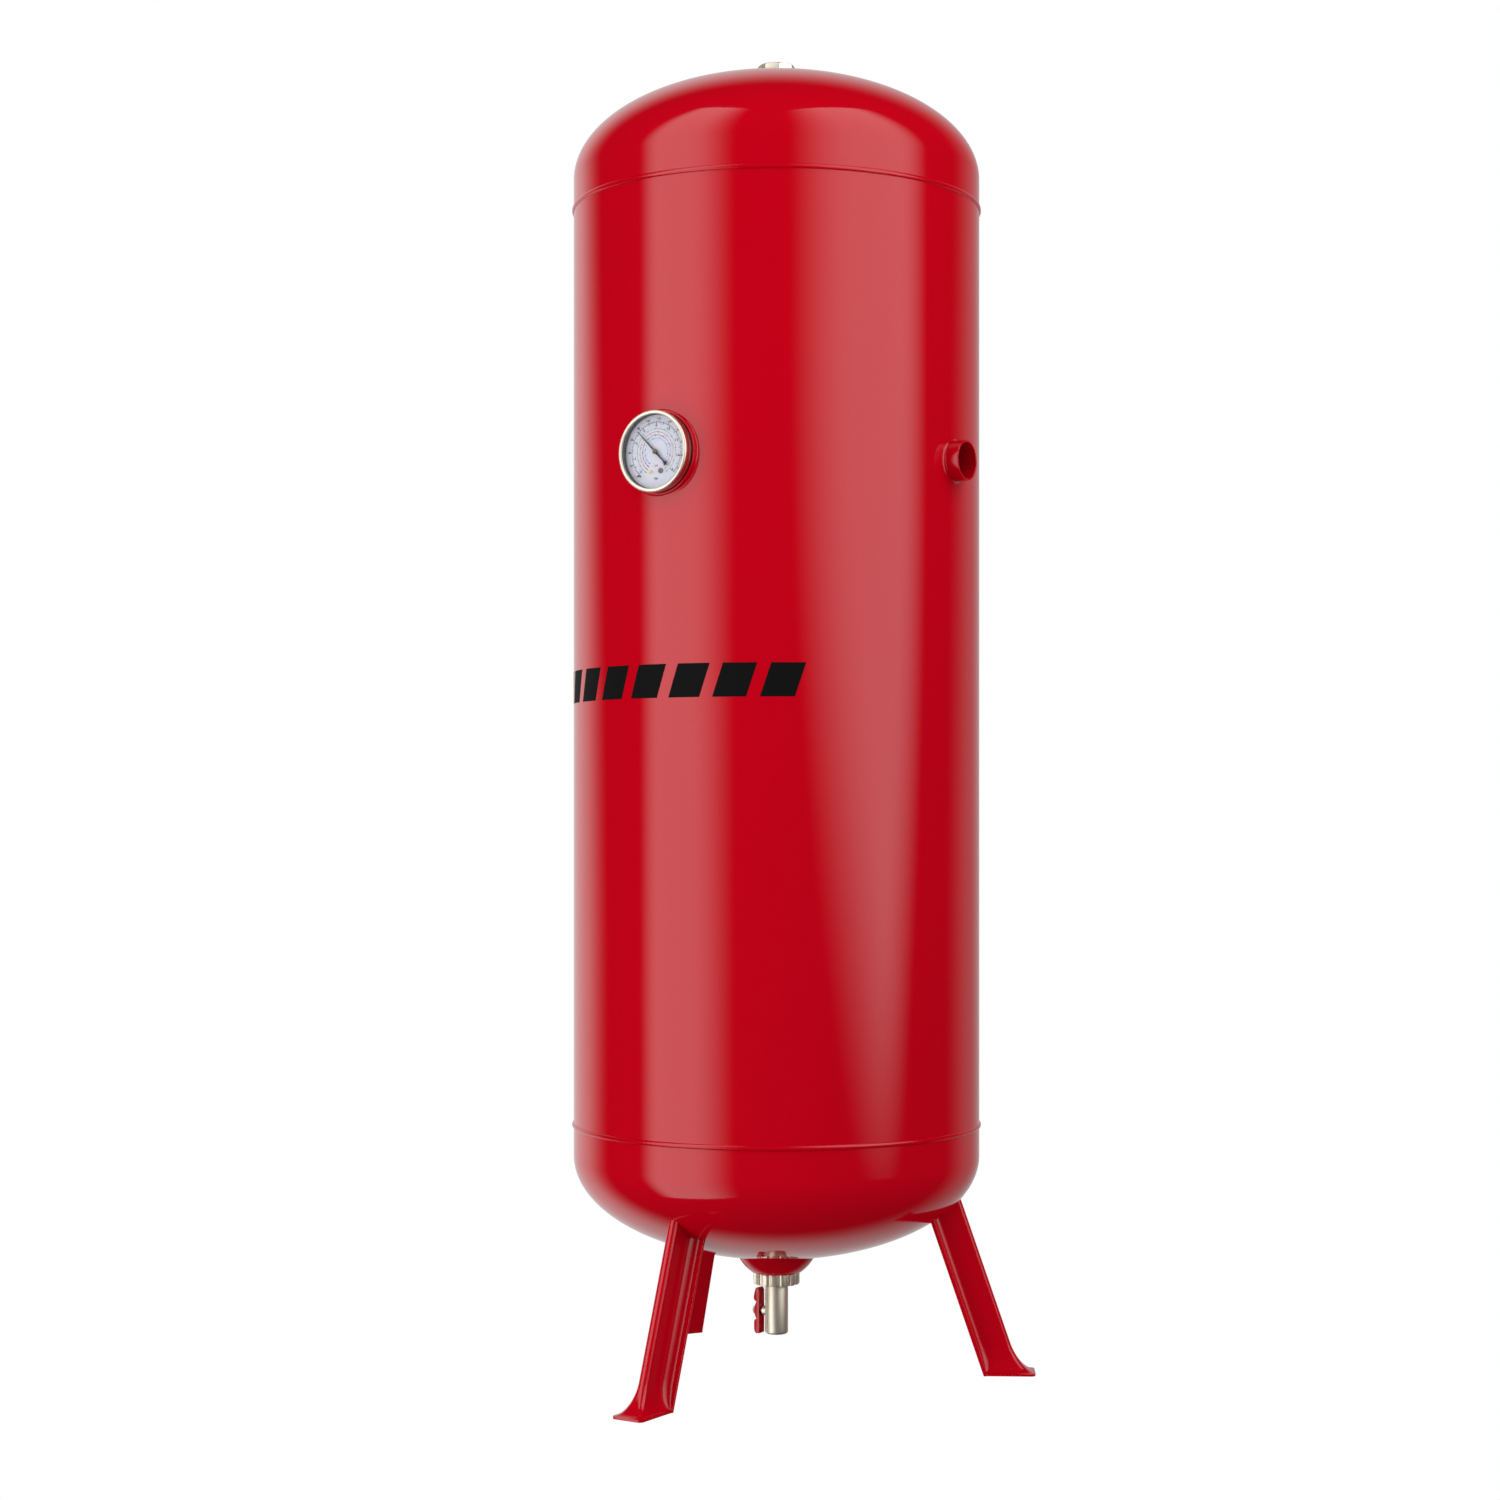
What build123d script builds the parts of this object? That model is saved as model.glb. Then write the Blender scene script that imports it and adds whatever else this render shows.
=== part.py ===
from build123d import *
import os
from math import acos, cos, pi, radians, sin, sqrt, tan

# Vertical air receiver: a welded steel tank on three pressed legs, with a dial pressure gauge
# sunk in a welded well, two side sockets, a top plug and a drain valve under the bottom head.
# Millimetres. The origin is on the tank's axis at floor level, +Z is up, the gauge faces -Y.

os.makedirs("parts", exist_ok=True)

# ------------------------------------------------------------------ driving dimensions
# tank
TANK_RADIUS = 250.0
SHELL_WALL = 4.0
HEAD_WALL = 4.5
HEAD_DEPTH = 125.0          # 2:1 semi-ellipsoidal head
HEAD_FLANGE = 38.0          # straight part below the ellipse
BOTTOM_WELD_Z = 307.0
SHELL_LENGTH = 1123.0
WELD_WIDTH = 6.0
WELD_HEIGHT = 2.4
SEAM_HEIGHT = 1.5

# legs
LEG_WIDTH = 12.6            # over the round crown
LEG_DEPTH = 46.0            # back of the brims to the crown
LEG_SHEET = 3.0
LEG_LEAN = 19.0             # degrees from the vertical
LEG_INNER_RADIUS = TANK_RADIUS + 5.0        # back of the brims at the floor
LEG_BRIM_WIDTH = 43.2       # over both brims
LEG_BRIM_BEND = 8.5         # outer radius where the sides turn into the brims
LEG_CORNER = 6.0
FOOT_INSET = 0.5            # from the foot's sides to the brims' edges
FOOT_REACH = 18.5           # how far the foot turns out past the leg's line
FOOT_FLARE = 38.0           # height at which the leg starts to turn out
FOOT_BEND = 0.3             # what is left of the brims' bend at the foot
FLARE_STEPS = 5

# side sockets, both on the gauge's level
PORT_Z = 1107.0
SOCKET_RADIUS = 24.15
SOCKET_BORE = 21.55
SOCKET_REACH = 17.5
SOCKET_INSIDE = 6.0
SOCKET_CHAMFER = 0.5
FILLET_WELD = 3.5
FILLET_ROOT = 7.0           # how far the fillet's solid starts below the shell's crown

# top plug
PLUG_FLATS = 43.0
PLUG_HEAD = 13.0
PLUG_TURN = -4.0            # degrees
PLUG_THREAD_RADIUS = 16.5
PLUG_THREAD_LENGTH = 13.0
PLUG_CHAMFER = 1.2
PLUG_SIDES = 8
PLUG_SEAL = 1.5
TOP_BOSS_RADIUS = 30.0
TOP_BOSS_ABOVE = 5.0
TOP_BOSS_BELOW = 12.0

# gauge, placed along its own axis from the tank's axis
CASE_RADIUS = 46.0
CASE_WALL = 1.2
CASE_BACK = TANK_RADIUS - 18.0
WELL_RADIUS = CASE_RADIUS + 3.0
WELL_WALL = 2.5
WELL_RIM = TANK_RADIUS + 3.0
WELL_FLOOR = 8.0
WELL_LIP = 0.75             # rounding of the rim
BEZEL_RADIUS = CASE_RADIUS + 1.4
BEZEL_OPENING = CASE_RADIUS - 2.9
BEZEL_FRONT = TANK_RADIUS + 18.0
BEZEL_DEPTH = 9.0
BEZEL_ROUNDING = 1.2
LENS_THICKNESS = 2.0
GASKET_THICKNESS = 1.5
DIAL_RADIUS = CASE_RADIUS - 3.0
DIAL_FRONT = TANK_RADIUS + 8.0
DIAL_THICKNESS = 0.8
STEM_RADIUS = 6.58
STEM_LENGTH = 12.5
STEM_SHOULDER = 4.0         # wider than the stem
STEM_BORE = 1.5
SOCKET_BLOCK_RADIUS = 13.0
SOCKET_ARM_WIDTH = 9.0
WASHER_THICKNESS = 1.5
POINTER_REST = 135.0        # degrees, seen from the front, from 3 o'clock
POINTER_LENGTH = 35.2
POINTER_TAIL = 20.0
POINTER_THICKNESS = 0.5
POINTER_WIDTH = 1.6
POINTER_TIP = 0.4
POINTER_LIFT = 2.4          # over the dial
COUNTERWEIGHT = 3.4         # side of its square
HUB_RADIUS = 3.1
HUB_HEIGHT = 1.0
STOP_SWEEP = 94.5           # degrees from the pointer's rest to the stop pin
STOP_RADIUS = 1.1
STOP_HEIGHT = 3.2
ARBOR_RADIUS = 0.9
PLATE_THICKNESS = 1.0
BACK_PLATE_AT = TANK_RADIUS - 8.0
FRONT_PLATE_AT = TANK_RADIUS + 2.0
PLATE_RADIUS = 32.0
PLATE_SIDE = 42.0           # square blank, its corners cut to the plate radius
PLATE_DROP = 13.0
GEAR_MODULE = 0.5
PINION_TEETH = 16
SECTOR_TEETH = 80           # teeth of the full circle that the sector is a part of
PRESSURE_ANGLE = 20.0
ADDENDUM = 0.8              # of the module
DEDENDUM = 1.1
BACKLASH = 0.08
GEAR_THICKNESS = 1.2
GEAR_AT = TANK_RADIUS - 3.0
TAIL_RADIUS = 8.0
TAIL_ANGLE = -80.0
EYE_RADIUS = 1.8            # round the pins at the tail and along the link
LINK_WIDTH = 1.8
LUG_EYE_RADIUS = 2.4
TUBE_RADIUS = 36.0
TUBE_HEIGHT = 4.0
TUBE_WIDTH = 12.0
TUBE_WALL = 0.5
TUBE_START = -115.0
TUBE_ARC = 265.0
HOLDER_ARC = 15.0
HOLDER_LIP = 1.0            # the holder's wall round the tube
CAP_ARC = 4.0

# drain, on the tank's axis
DRAIN_SPHERE_RADIUS = 53.0
DRAIN_SPHERE_Z = 166.3
NUT_TOP_Z = 122.5
NUT_HEIGHT = 14.0
NUT_RADIUS = 28.5
NUT_LOBES = 14
SCALLOP_RADIUS = 3.2
VALVE_RADIUS = 14.3
VALVE_BOTTOM_Z = 46.5
VALVE_ROUNDING = 3.0
SHANK_RADIUS = 10.45
SHANK_LENGTH = 15.0         # above the nut, inside the boss
PORT_RADIUS = 5.0
OUTLET_RADIUS = 7.475
OUTLET_DEPTH = 9.0
BALL_RADIUS = 9.5
CAVITY_RADIUS = BALL_RADIUS + 0.7
CAVITY_MARGIN = 3.0         # over and under the ball
SEAT_HEIGHT = 5.5
SEAL_DEPTH = 3.5
SEAL_THICKNESS = 2.0
GLAND_RADIUS = 6.0
GLAND_REACH = 4.0
HANDLE_Z = 73.0
HANDLE_LENGTH = 57.0
HANDLE_WIDTH = 12.0
HANDLE_PLATE = 2.5
HANDLE_DEPTH = 8.0
HANDLE_FACE = 21.6          # inner face, from the tank's axis
HANDLE_HUB_RADIUS = 8.0
HANDLE_ROUNDING = 4.2
WING_HEIGHT = 17.0
STEM_ROD_RADIUS = 3.0
HANDLE_NUT_RADIUS = 5.1
HANDLE_NUT_HEIGHT = 2.6

# fits
THREAD_GAP = 0.1            # radial, between mating threads drawn as plain cylinders
RUNNING_GAP = 0.05          # radial, shaft in bearing
BALL_GAP = 0.1
LOOSE_GAP = 0.6             # round pieces that only sit in a larger one
EDGE_BREAK = 0.4

# ------------------------------------------------------------------ derived places
TOP_WELD_Z = BOTTOM_WELD_Z + SHELL_LENGTH
APEX_Z = TOP_WELD_Z + HEAD_FLANGE + HEAD_DEPTH
OUTLET_SIDE = Vector(1, 0, 0)
INLET_SIDE = Vector(-1, 0, 0)
GAUGE_SIDE = Vector(0, -1, 0)
LEG_ANGLES = {"front_leg": -90.0, "right_leg": 30.0, "left_leg": 150.0}
PINION_RADIUS = GEAR_MODULE * PINION_TEETH / 2
SECTOR_RADIUS = GEAR_MODULE * SECTOR_TEETH / 2
SECTOR_DROP = PINION_RADIUS + SECTOR_RADIUS


def finish(builder, label):
    """Label a finished piece and write its STEP file."""
    builder.part.label = label
    export_step(builder.part, f"parts/{label}.step")


def side_plane(direction, distance, turn=0.0):
    """A plane facing out of the tank at the sockets' level, with its y up before the turn."""
    across = Vector(0, 0, 1).cross(direction)
    x_dir = across * cos(radians(turn)) + Vector(0, 0, 1) * sin(radians(turn))
    return Plane(origin=direction * distance + Vector(0, 0, PORT_Z), x_dir=x_dir, z_dir=direction)


def gauge_plane(distance, turn=0.0):
    return side_plane(GAUGE_SIDE, distance, turn)


def polar(radius, degrees):
    return (radius * cos(radians(degrees)), radius * sin(radians(degrees)))


def ring_on(plane, outer, inner, height):
    """A flat ring standing on a plane."""
    with BuildPart() as ring:
        with BuildSketch(plane):
            Circle(outer)
            Circle(inner, mode=Mode.SUBTRACT)
        extrude(amount=height)
    return ring


# ------------------------------------------------------------------ vessel
def head_outline(radius, depth):
    """Half section of a dished end, solid to the axis, from the weld plane upwards."""
    Line((0, 0), (radius, 0))
    Line((radius, 0), (radius, HEAD_FLANGE))
    EllipticalCenterArc((0, HEAD_FLANGE), radius, depth, start_angle=0, arc_size=90)
    Line((0, HEAD_FLANGE + depth), (0, 0))


TOP_HEAD_PLANE = Plane(origin=(0, 0, TOP_WELD_Z), x_dir=(1, 0, 0), z_dir=(0, -1, 0))
BOTTOM_HEAD_PLANE = Plane(origin=(0, 0, BOTTOM_WELD_Z), x_dir=(1, 0, 0), z_dir=(0, 1, 0))


def head_envelope(plane):
    """The space that a dished end encloses, wall included."""
    with BuildPart() as envelope:
        with BuildSketch(plane):
            with BuildLine():
                head_outline(TANK_RADIUS, HEAD_DEPTH)
            make_face()
        revolve(axis=Axis.Z)
    return envelope


def dished_end(plane, hole_radius):
    """A pressed head with one hole at its crown."""
    with BuildPart() as head:
        with BuildSketch(plane):
            with BuildLine():
                head_outline(TANK_RADIUS, HEAD_DEPTH)
            make_face()
            with BuildLine():
                head_outline(TANK_RADIUS - HEAD_WALL, HEAD_DEPTH - HEAD_WALL)
            make_face(mode=Mode.SUBTRACT)
        revolve(axis=Axis.Z)
        with BuildSketch(Plane.XY):
            Circle(hole_radius)
        extrude(amount=APEX_Z, mode=Mode.SUBTRACT)
    return head


# rolled shell with the holes for the sockets and the gauge well
with BuildPart() as shell:
    with BuildSketch(Plane.XY.offset(BOTTOM_WELD_Z)):
        Circle(TANK_RADIUS)
        Circle(TANK_RADIUS - SHELL_WALL, mode=Mode.SUBTRACT)
    extrude(amount=SHELL_LENGTH)
    holes = ((OUTLET_SIDE, SOCKET_RADIUS), (INLET_SIDE, SOCKET_RADIUS), (GAUGE_SIDE, WELL_RADIUS))
    for side, hole in holes:
        with BuildSketch(side_plane(side, 0)):
            Circle(hole)
        extrude(amount=TANK_RADIUS, mode=Mode.SUBTRACT)
finish(shell, "shell")

top_head = dished_end(TOP_HEAD_PLANE, TOP_BOSS_RADIUS)
finish(top_head, "top_head")
bottom_head = dished_end(BOTTOM_HEAD_PLANE, SHANK_RADIUS + THREAD_GAP)
finish(bottom_head, "bottom_head")


def girth_weld(level):
    """A raised bead round the tank, over the joint of shell and head."""
    half = WELD_WIDTH / 2
    with BuildPart() as weld:
        with BuildSketch(Plane.XZ):
            with BuildLine():
                low = (TANK_RADIUS, level - half)
                high = (TANK_RADIUS, level + half)
                ThreePointArc(low, (TANK_RADIUS + WELD_HEIGHT, level), high)
                Line(high, low)
            make_face()
        revolve(axis=Axis.Z)
    return weld


finish(girth_weld(TOP_WELD_Z), "top_girth_weld")
finish(girth_weld(BOTTOM_WELD_Z), "bottom_girth_weld")

# the rolled sheet's own seam, at the back, between the two girth welds
with BuildPart() as long_seam_weld:
    half = WELD_WIDTH / 2
    edge = sqrt(TANK_RADIUS**2 - half**2)
    with BuildSketch(Plane.XY.offset(BOTTOM_WELD_Z + half)):
        with BuildLine():
            ThreePointArc((half, edge), (0, TANK_RADIUS + SEAM_HEIGHT), (-half, edge))
            ThreePointArc((-half, edge), (0, TANK_RADIUS), (half, edge))
        make_face()
    extrude(amount=SHELL_LENGTH - WELD_WIDTH)
finish(long_seam_weld, "long_seam_weld")


# ------------------------------------------------------------------ legs
def hat_section(plane, inner, depth, half_width, half_brim, bend, corner):
    """A horizontal cut through a leg's outside: flat brims, hollow bends, a round crown."""
    brim_end = half_width + bend
    with BuildSketch(plane) as section:
        with BuildLine():
            for hand in (1, -1):
                Line((inner, 0), (inner, hand * half_brim))
                Line((inner, hand * half_brim), (inner + LEG_SHEET, hand * half_brim))
                Line((inner + LEG_SHEET, hand * half_brim), (inner + LEG_SHEET, hand * brim_end))
                CenterArc((inner + LEG_SHEET + bend, hand * brim_end), bend, 180, hand * 90)
                Line(
                    (inner + LEG_SHEET + bend, hand * half_width),
                    (inner + depth - corner, hand * half_width),
                )
                CenterArc(
                    (inner + depth - corner, hand * (half_width - corner)), corner, 0, hand * 90
                )
                Line((inner + depth, hand * (half_width - corner)), (inner + depth, 0))
        make_face()
    return section.sketch


def hollow_section(plane, inner):
    """A horizontal cut through the space between the pressing and its flat back."""
    half_width = LEG_WIDTH / 2 - LEG_SHEET
    corner = LEG_CORNER - LEG_SHEET
    back = inner + LEG_SHEET
    crown = inner + LEG_DEPTH - LEG_SHEET
    with BuildSketch(plane) as section:
        with BuildLine():
            for hand in (1, -1):
                Line((back, 0), (back, hand * half_width))
                Line((back, hand * half_width), (crown - corner, hand * half_width))
                CenterArc((crown - corner, hand * (half_width - corner)), corner, 0, hand * 90)
                Line((crown, hand * (half_width - corner)), (crown, 0))
        make_face()
    return section.sketch


def leg(angle):
    """A pressed hat section closed by a flat back, with its foot turned out on three sides."""
    out = Vector(cos(radians(angle)), sin(radians(angle)), 0)
    slope = tan(radians(LEG_LEAN))
    envelope = head_envelope(BOTTOM_HEAD_PLANE)
    top = BOTTOM_WELD_Z - HEAD_FLANGE

    def plane_at(height):
        return Plane(origin=(0, 0, height), x_dir=out, z_dir=(0, 0, 1))

    def inner_at(height):
        return LEG_INNER_RADIUS - height * slope

    def turned_out(height):
        """Share of the foot's turn-out above its rim: a quarter circle, 1 at the rim."""
        rise = min(height / (FOOT_FLARE - LEG_SHEET), 1)
        return 1 - sqrt(1 - (1 - rise) ** 2)

    def outside(height, share):
        """The outer outline at a height, with a share of the foot's turn-out."""
        half_foot = LEG_BRIM_WIDTH / 2 - FOOT_INSET
        return hat_section(
            plane_at(height),
            inner_at(height),
            LEG_DEPTH + FOOT_REACH * share,
            LEG_WIDTH / 2 + (half_foot - LEG_WIDTH / 2) * share,
            LEG_BRIM_WIDTH / 2,
            LEG_BRIM_BEND + (FOOT_BEND - LEG_BRIM_BEND) * share,
            LEG_CORNER,
        )

    step_height = (FOOT_FLARE - LEG_SHEET) / FLARE_STEPS
    flare = [LEG_SHEET + step_height * step for step in range(FLARE_STEPS + 1)]
    with BuildPart() as body:
        loft([outside(0, 1), outside(LEG_SHEET, 1)], ruled=True)
        loft([outside(height, turned_out(height - LEG_SHEET)) for height in flare], ruled=True)
        loft([outside(FOOT_FLARE, 0), outside(top, 0)], ruled=True)
        hollow = [hollow_section(plane_at(height), inner_at(height)) for height in (0, top)]
        loft(hollow, ruled=True, mode=Mode.SUBTRACT)
        add(envelope.part, mode=Mode.SUBTRACT)
    return body


for leg_name, leg_angle in LEG_ANGLES.items():
    finish(leg(leg_angle), leg_name)


# ------------------------------------------------------------------ side sockets
def socket(side):
    """A pipe stub through the shell, open at both ends."""
    start = TANK_RADIUS - SHELL_WALL - SOCKET_INSIDE
    with BuildPart() as stub:
        with BuildSketch(side_plane(side, start)):
            Circle(SOCKET_RADIUS)
            Circle(SOCKET_BORE, mode=Mode.SUBTRACT)
        extrude(amount=SOCKET_INSIDE + SHELL_WALL + SOCKET_REACH)
        mouth = stub.edges().filter_by(GeomType.CIRCLE).sort_by(Axis((0, 0, 0), side))[-2:]
        chamfer(mouth, SOCKET_CHAMFER)
    return stub


def socket_weld(side):
    """The fillet weld round a stub, cut to the shell's curve."""
    with BuildPart() as weld:
        base = TANK_RADIUS - FILLET_ROOT
        with BuildSketch(side_plane(side, base)):
            Circle(SOCKET_RADIUS + FILLET_WELD)
        with BuildSketch(side_plane(side, TANK_RADIUS - FILLET_WELD / 3)):
            Circle(SOCKET_RADIUS + FILLET_WELD)
        loft()
        with BuildSketch(side_plane(side, TANK_RADIUS - FILLET_WELD / 3)):
            Circle(SOCKET_RADIUS + FILLET_WELD)
        with BuildSketch(side_plane(side, TANK_RADIUS + FILLET_WELD)):
            Circle(SOCKET_RADIUS)
        loft()
        with BuildSketch(side_plane(side, 0)):
            Circle(SOCKET_RADIUS)
        extrude(amount=TANK_RADIUS + SOCKET_REACH, mode=Mode.SUBTRACT)
        with BuildSketch(Plane.XY.offset(BOTTOM_WELD_Z)):
            Circle(TANK_RADIUS)
        extrude(amount=SHELL_LENGTH, mode=Mode.SUBTRACT)
    return weld


for socket_name, socket_side in (("outlet", OUTLET_SIDE), ("inlet", INLET_SIDE)):
    finish(socket(socket_side), f"{socket_name}_socket")
    finish(socket_weld(socket_side), f"{socket_name}_weld")

# ------------------------------------------------------------------ top plug
PLUG_SEAT_Z = APEX_Z + TOP_BOSS_ABOVE
TOP_BOSS_HEIGHT = TOP_BOSS_ABOVE + TOP_BOSS_BELOW
BOSS_BASE = Plane.XY.offset(APEX_Z - TOP_BOSS_BELOW)
finish(ring_on(BOSS_BASE, TOP_BOSS_RADIUS, PLUG_THREAD_RADIUS + THREAD_GAP, TOP_BOSS_HEIGHT), "top_boss")
finish(
    ring_on(Plane.XY.offset(PLUG_SEAT_Z), PLUG_FLATS / 2, PLUG_THREAD_RADIUS + THREAD_GAP, PLUG_SEAL),
    "top_plug_seal",
)

with BuildPart() as top_plug:
    with BuildSketch(Plane.XY.offset(PLUG_SEAT_Z + PLUG_SEAL)):
        RegularPolygon(PLUG_FLATS / 2, PLUG_SIDES, major_radius=False, rotation=PLUG_TURN)
    extrude(amount=PLUG_HEAD)
    chamfer(top_plug.faces().sort_by(Axis.Z)[-1].edges(), PLUG_CHAMFER)
    with BuildSketch(Plane.XY.offset(PLUG_SEAT_Z + PLUG_SEAL - PLUG_THREAD_LENGTH)):
        Circle(PLUG_THREAD_RADIUS)
    extrude(amount=PLUG_THREAD_LENGTH)
finish(top_plug, "top_plug")

# ------------------------------------------------------------------ gauge: well, case and window
WELL_BACK = CASE_BACK - 2 * WASHER_THICKNESS - LOOSE_GAP - WELL_FLOOR
STEM_SEAT = WELL_BACK + WELL_FLOOR
SHOULDER_RADIUS = STEM_RADIUS + STEM_SHOULDER

with BuildPart() as gauge_well:
    with BuildSketch(gauge_plane(WELL_BACK)):
        Circle(WELL_RADIUS)
        Circle(STEM_RADIUS + THREAD_GAP, mode=Mode.SUBTRACT)
    extrude(amount=WELL_FLOOR)
    with BuildSketch(gauge_plane(STEM_SEAT)):
        Circle(WELL_RADIUS)
        Circle(WELL_RADIUS - WELL_WALL, mode=Mode.SUBTRACT)
    extrude(amount=WELL_RIM - STEM_SEAT)
    rim = gauge_well.edges().filter_by(GeomType.CIRCLE).sort_by(Axis((0, 0, 0), GAUGE_SIDE))[-2:]
    fillet(rim, WELL_LIP)
finish(gauge_well, "gauge_well")

with BuildPart() as gauge_case:
    with BuildSketch(gauge_plane(CASE_BACK)):
        Circle(CASE_RADIUS)
        Circle(STEM_RADIUS + THREAD_GAP, mode=Mode.SUBTRACT)
    extrude(amount=CASE_WALL)
    with BuildSketch(gauge_plane(CASE_BACK + CASE_WALL)):
        Circle(CASE_RADIUS)
        Circle(CASE_RADIUS - CASE_WALL, mode=Mode.SUBTRACT)
    extrude(amount=BEZEL_FRONT - LENS_THICKNESS - CASE_BACK - CASE_WALL)
finish(gauge_case, "gauge_case")

LENS_FRONT = BEZEL_FRONT - LENS_THICKNESS
LENS_RADIUS = CASE_RADIUS - CASE_WALL - RUNNING_GAP
with BuildPart() as gauge_bezel:
    with BuildSketch(gauge_plane(BEZEL_FRONT - BEZEL_DEPTH)):
        Circle(BEZEL_RADIUS)
        Circle(CASE_RADIUS, mode=Mode.SUBTRACT)
    extrude(amount=BEZEL_DEPTH - LENS_THICKNESS)
    with BuildSketch(gauge_plane(LENS_FRONT)):
        Circle(BEZEL_RADIUS)
        Circle(BEZEL_OPENING, mode=Mode.SUBTRACT)
    extrude(amount=LENS_THICKNESS)
    front_edges = gauge_bezel.edges().filter_by(GeomType.CIRCLE).sort_by(Axis((0, 0, 0), GAUGE_SIDE))[-2:]
    fillet(front_edges, BEZEL_ROUNDING)
finish(gauge_bezel, "gauge_bezel")

with BuildPart() as gauge_lens:
    with BuildSketch(gauge_plane(LENS_FRONT - LENS_THICKNESS)):
        Circle(LENS_RADIUS)
    extrude(amount=LENS_THICKNESS)
finish(gauge_lens, "gauge_lens")

GASKET_AT = LENS_FRONT - LENS_THICKNESS - GASKET_THICKNESS
finish(ring_on(gauge_plane(GASKET_AT), LENS_RADIUS, BEZEL_OPENING, GASKET_THICKNESS), "lens_gasket")

# ------------------------------------------------------------------ gauge: dial and pointer
BRASS_SCREW = (-7.6, -22.8)
STEEL_SCREW = (6.2, -22.0)
BRASS_HEAD = 2.1
STEEL_HEAD = 3.3
SCREW_HEAD_HEIGHT = 1.0
SCREW_SHANK = 1.0
SLOT_TURN = 50.0
POST_RADIUS = 2.2
DIAL_BACK = DIAL_FRONT - DIAL_THICKNESS
STOP_ANGLE = POINTER_REST + STOP_SWEEP

with BuildPart() as gauge_dial:
    with BuildSketch(gauge_plane(DIAL_BACK)):
        Circle(DIAL_RADIUS)
        Circle(2 * ARBOR_RADIUS, mode=Mode.SUBTRACT)
        with Locations(BRASS_SCREW, STEEL_SCREW):
            Circle(SCREW_SHANK, mode=Mode.SUBTRACT)
    extrude(amount=DIAL_THICKNESS)
finish(gauge_dial, "gauge_dial")


def dial_screw(place, head_radius):
    """A slotted cheese-head screw through the dial into its post."""
    with BuildPart() as screw:
        with BuildSketch(gauge_plane(DIAL_FRONT)):
            with Locations(place):
                Circle(head_radius)
        extrude(amount=SCREW_HEAD_HEIGHT)
        with BuildSketch(gauge_plane(DIAL_FRONT + SCREW_HEAD_HEIGHT)):
            with Locations(place):
                Rectangle(3 * head_radius, head_radius / 4, rotation=SLOT_TURN)
        extrude(amount=-SCREW_HEAD_HEIGHT / 2, mode=Mode.SUBTRACT)
        with BuildSketch(gauge_plane(FRONT_PLATE_AT + PLATE_THICKNESS)):
            with Locations(place):
                Circle(SCREW_SHANK)
        extrude(amount=DIAL_FRONT - FRONT_PLATE_AT - PLATE_THICKNESS)
    return screw


finish(dial_screw(BRASS_SCREW, BRASS_HEAD), "dial_brass_screw")
finish(dial_screw(STEEL_SCREW, STEEL_HEAD), "dial_steel_screw")

with BuildPart() as dial_posts:
    with BuildSketch(gauge_plane(FRONT_PLATE_AT + PLATE_THICKNESS)):
        with Locations(BRASS_SCREW, STEEL_SCREW):
            Circle(POST_RADIUS)
            Circle(SCREW_SHANK, mode=Mode.SUBTRACT)
    extrude(amount=DIAL_BACK - FRONT_PLATE_AT - PLATE_THICKNESS)
finish(dial_posts, "dial_posts")

with BuildPart() as stop_pin:
    with BuildSketch(gauge_plane(DIAL_FRONT)):
        with Locations(polar(POINTER_LENGTH, STOP_ANGLE)):
            Circle(STOP_RADIUS)
    extrude(amount=STOP_HEIGHT)
finish(stop_pin, "stop_pin")

POINTER_AT = DIAL_FRONT + POINTER_LIFT
HUB_AT = POINTER_AT + POINTER_THICKNESS
HUB_FRONT = HUB_AT + HUB_HEIGHT
with BuildPart() as gauge_pointer:
    with BuildSketch(gauge_plane(POINTER_AT, POINTER_REST)):
        with BuildLine():
            Polyline(
                (0, POINTER_WIDTH / 2),
                (-POINTER_TAIL, POINTER_WIDTH / 2),
                (-POINTER_TAIL, -POINTER_WIDTH / 2),
                (0, -POINTER_WIDTH / 2),
                (POINTER_LENGTH, -POINTER_TIP / 2),
                (POINTER_LENGTH, POINTER_TIP / 2),
                close=True,
            )
        make_face()
        with Locations((-POINTER_TAIL, 0)):
            Rectangle(COUNTERWEIGHT, COUNTERWEIGHT, rotation=45)
        Circle(HUB_RADIUS - LOOSE_GAP)
        Circle(ARBOR_RADIUS, mode=Mode.SUBTRACT)
    extrude(amount=POINTER_THICKNESS)
finish(gauge_pointer, "gauge_pointer")

with BuildPart() as pointer_hub:
    with BuildSketch(gauge_plane(HUB_AT)):
        Circle(HUB_RADIUS)
        Circle(ARBOR_RADIUS, mode=Mode.SUBTRACT)
    extrude(amount=HUB_HEIGHT)
    hub_rim = pointer_hub.edges().filter_by(GeomType.CIRCLE).sort_by(Axis((0, 0, 0), GAUGE_SIDE))[-1]
    chamfer(hub_rim, EDGE_BREAK)
finish(pointer_hub, "pointer_hub")


# ------------------------------------------------------------------ gauge: movement
def involute_flank(teeth, first, last, steps=5):
    """Points of one tooth flank as (radius, angle from the tooth's centre), inner to outer."""
    pitch = GEAR_MODULE * teeth / 2
    base = pitch * cos(radians(PRESSURE_ANGLE))
    half_tooth = pi / (2 * teeth) - BACKLASH / (4 * pitch)

    def involute(radius):
        pressure = acos(min(base / radius, 1))
        return tan(pressure) - pressure

    points = []
    for step in range(steps + 1):
        radius = max(first, base) + (last - max(first, base)) * step / steps
        points.append((radius, half_tooth + involute(pitch) - involute(radius)))
    if first < base:
        points.insert(0, (first, points[0][1]))
    return points


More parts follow.
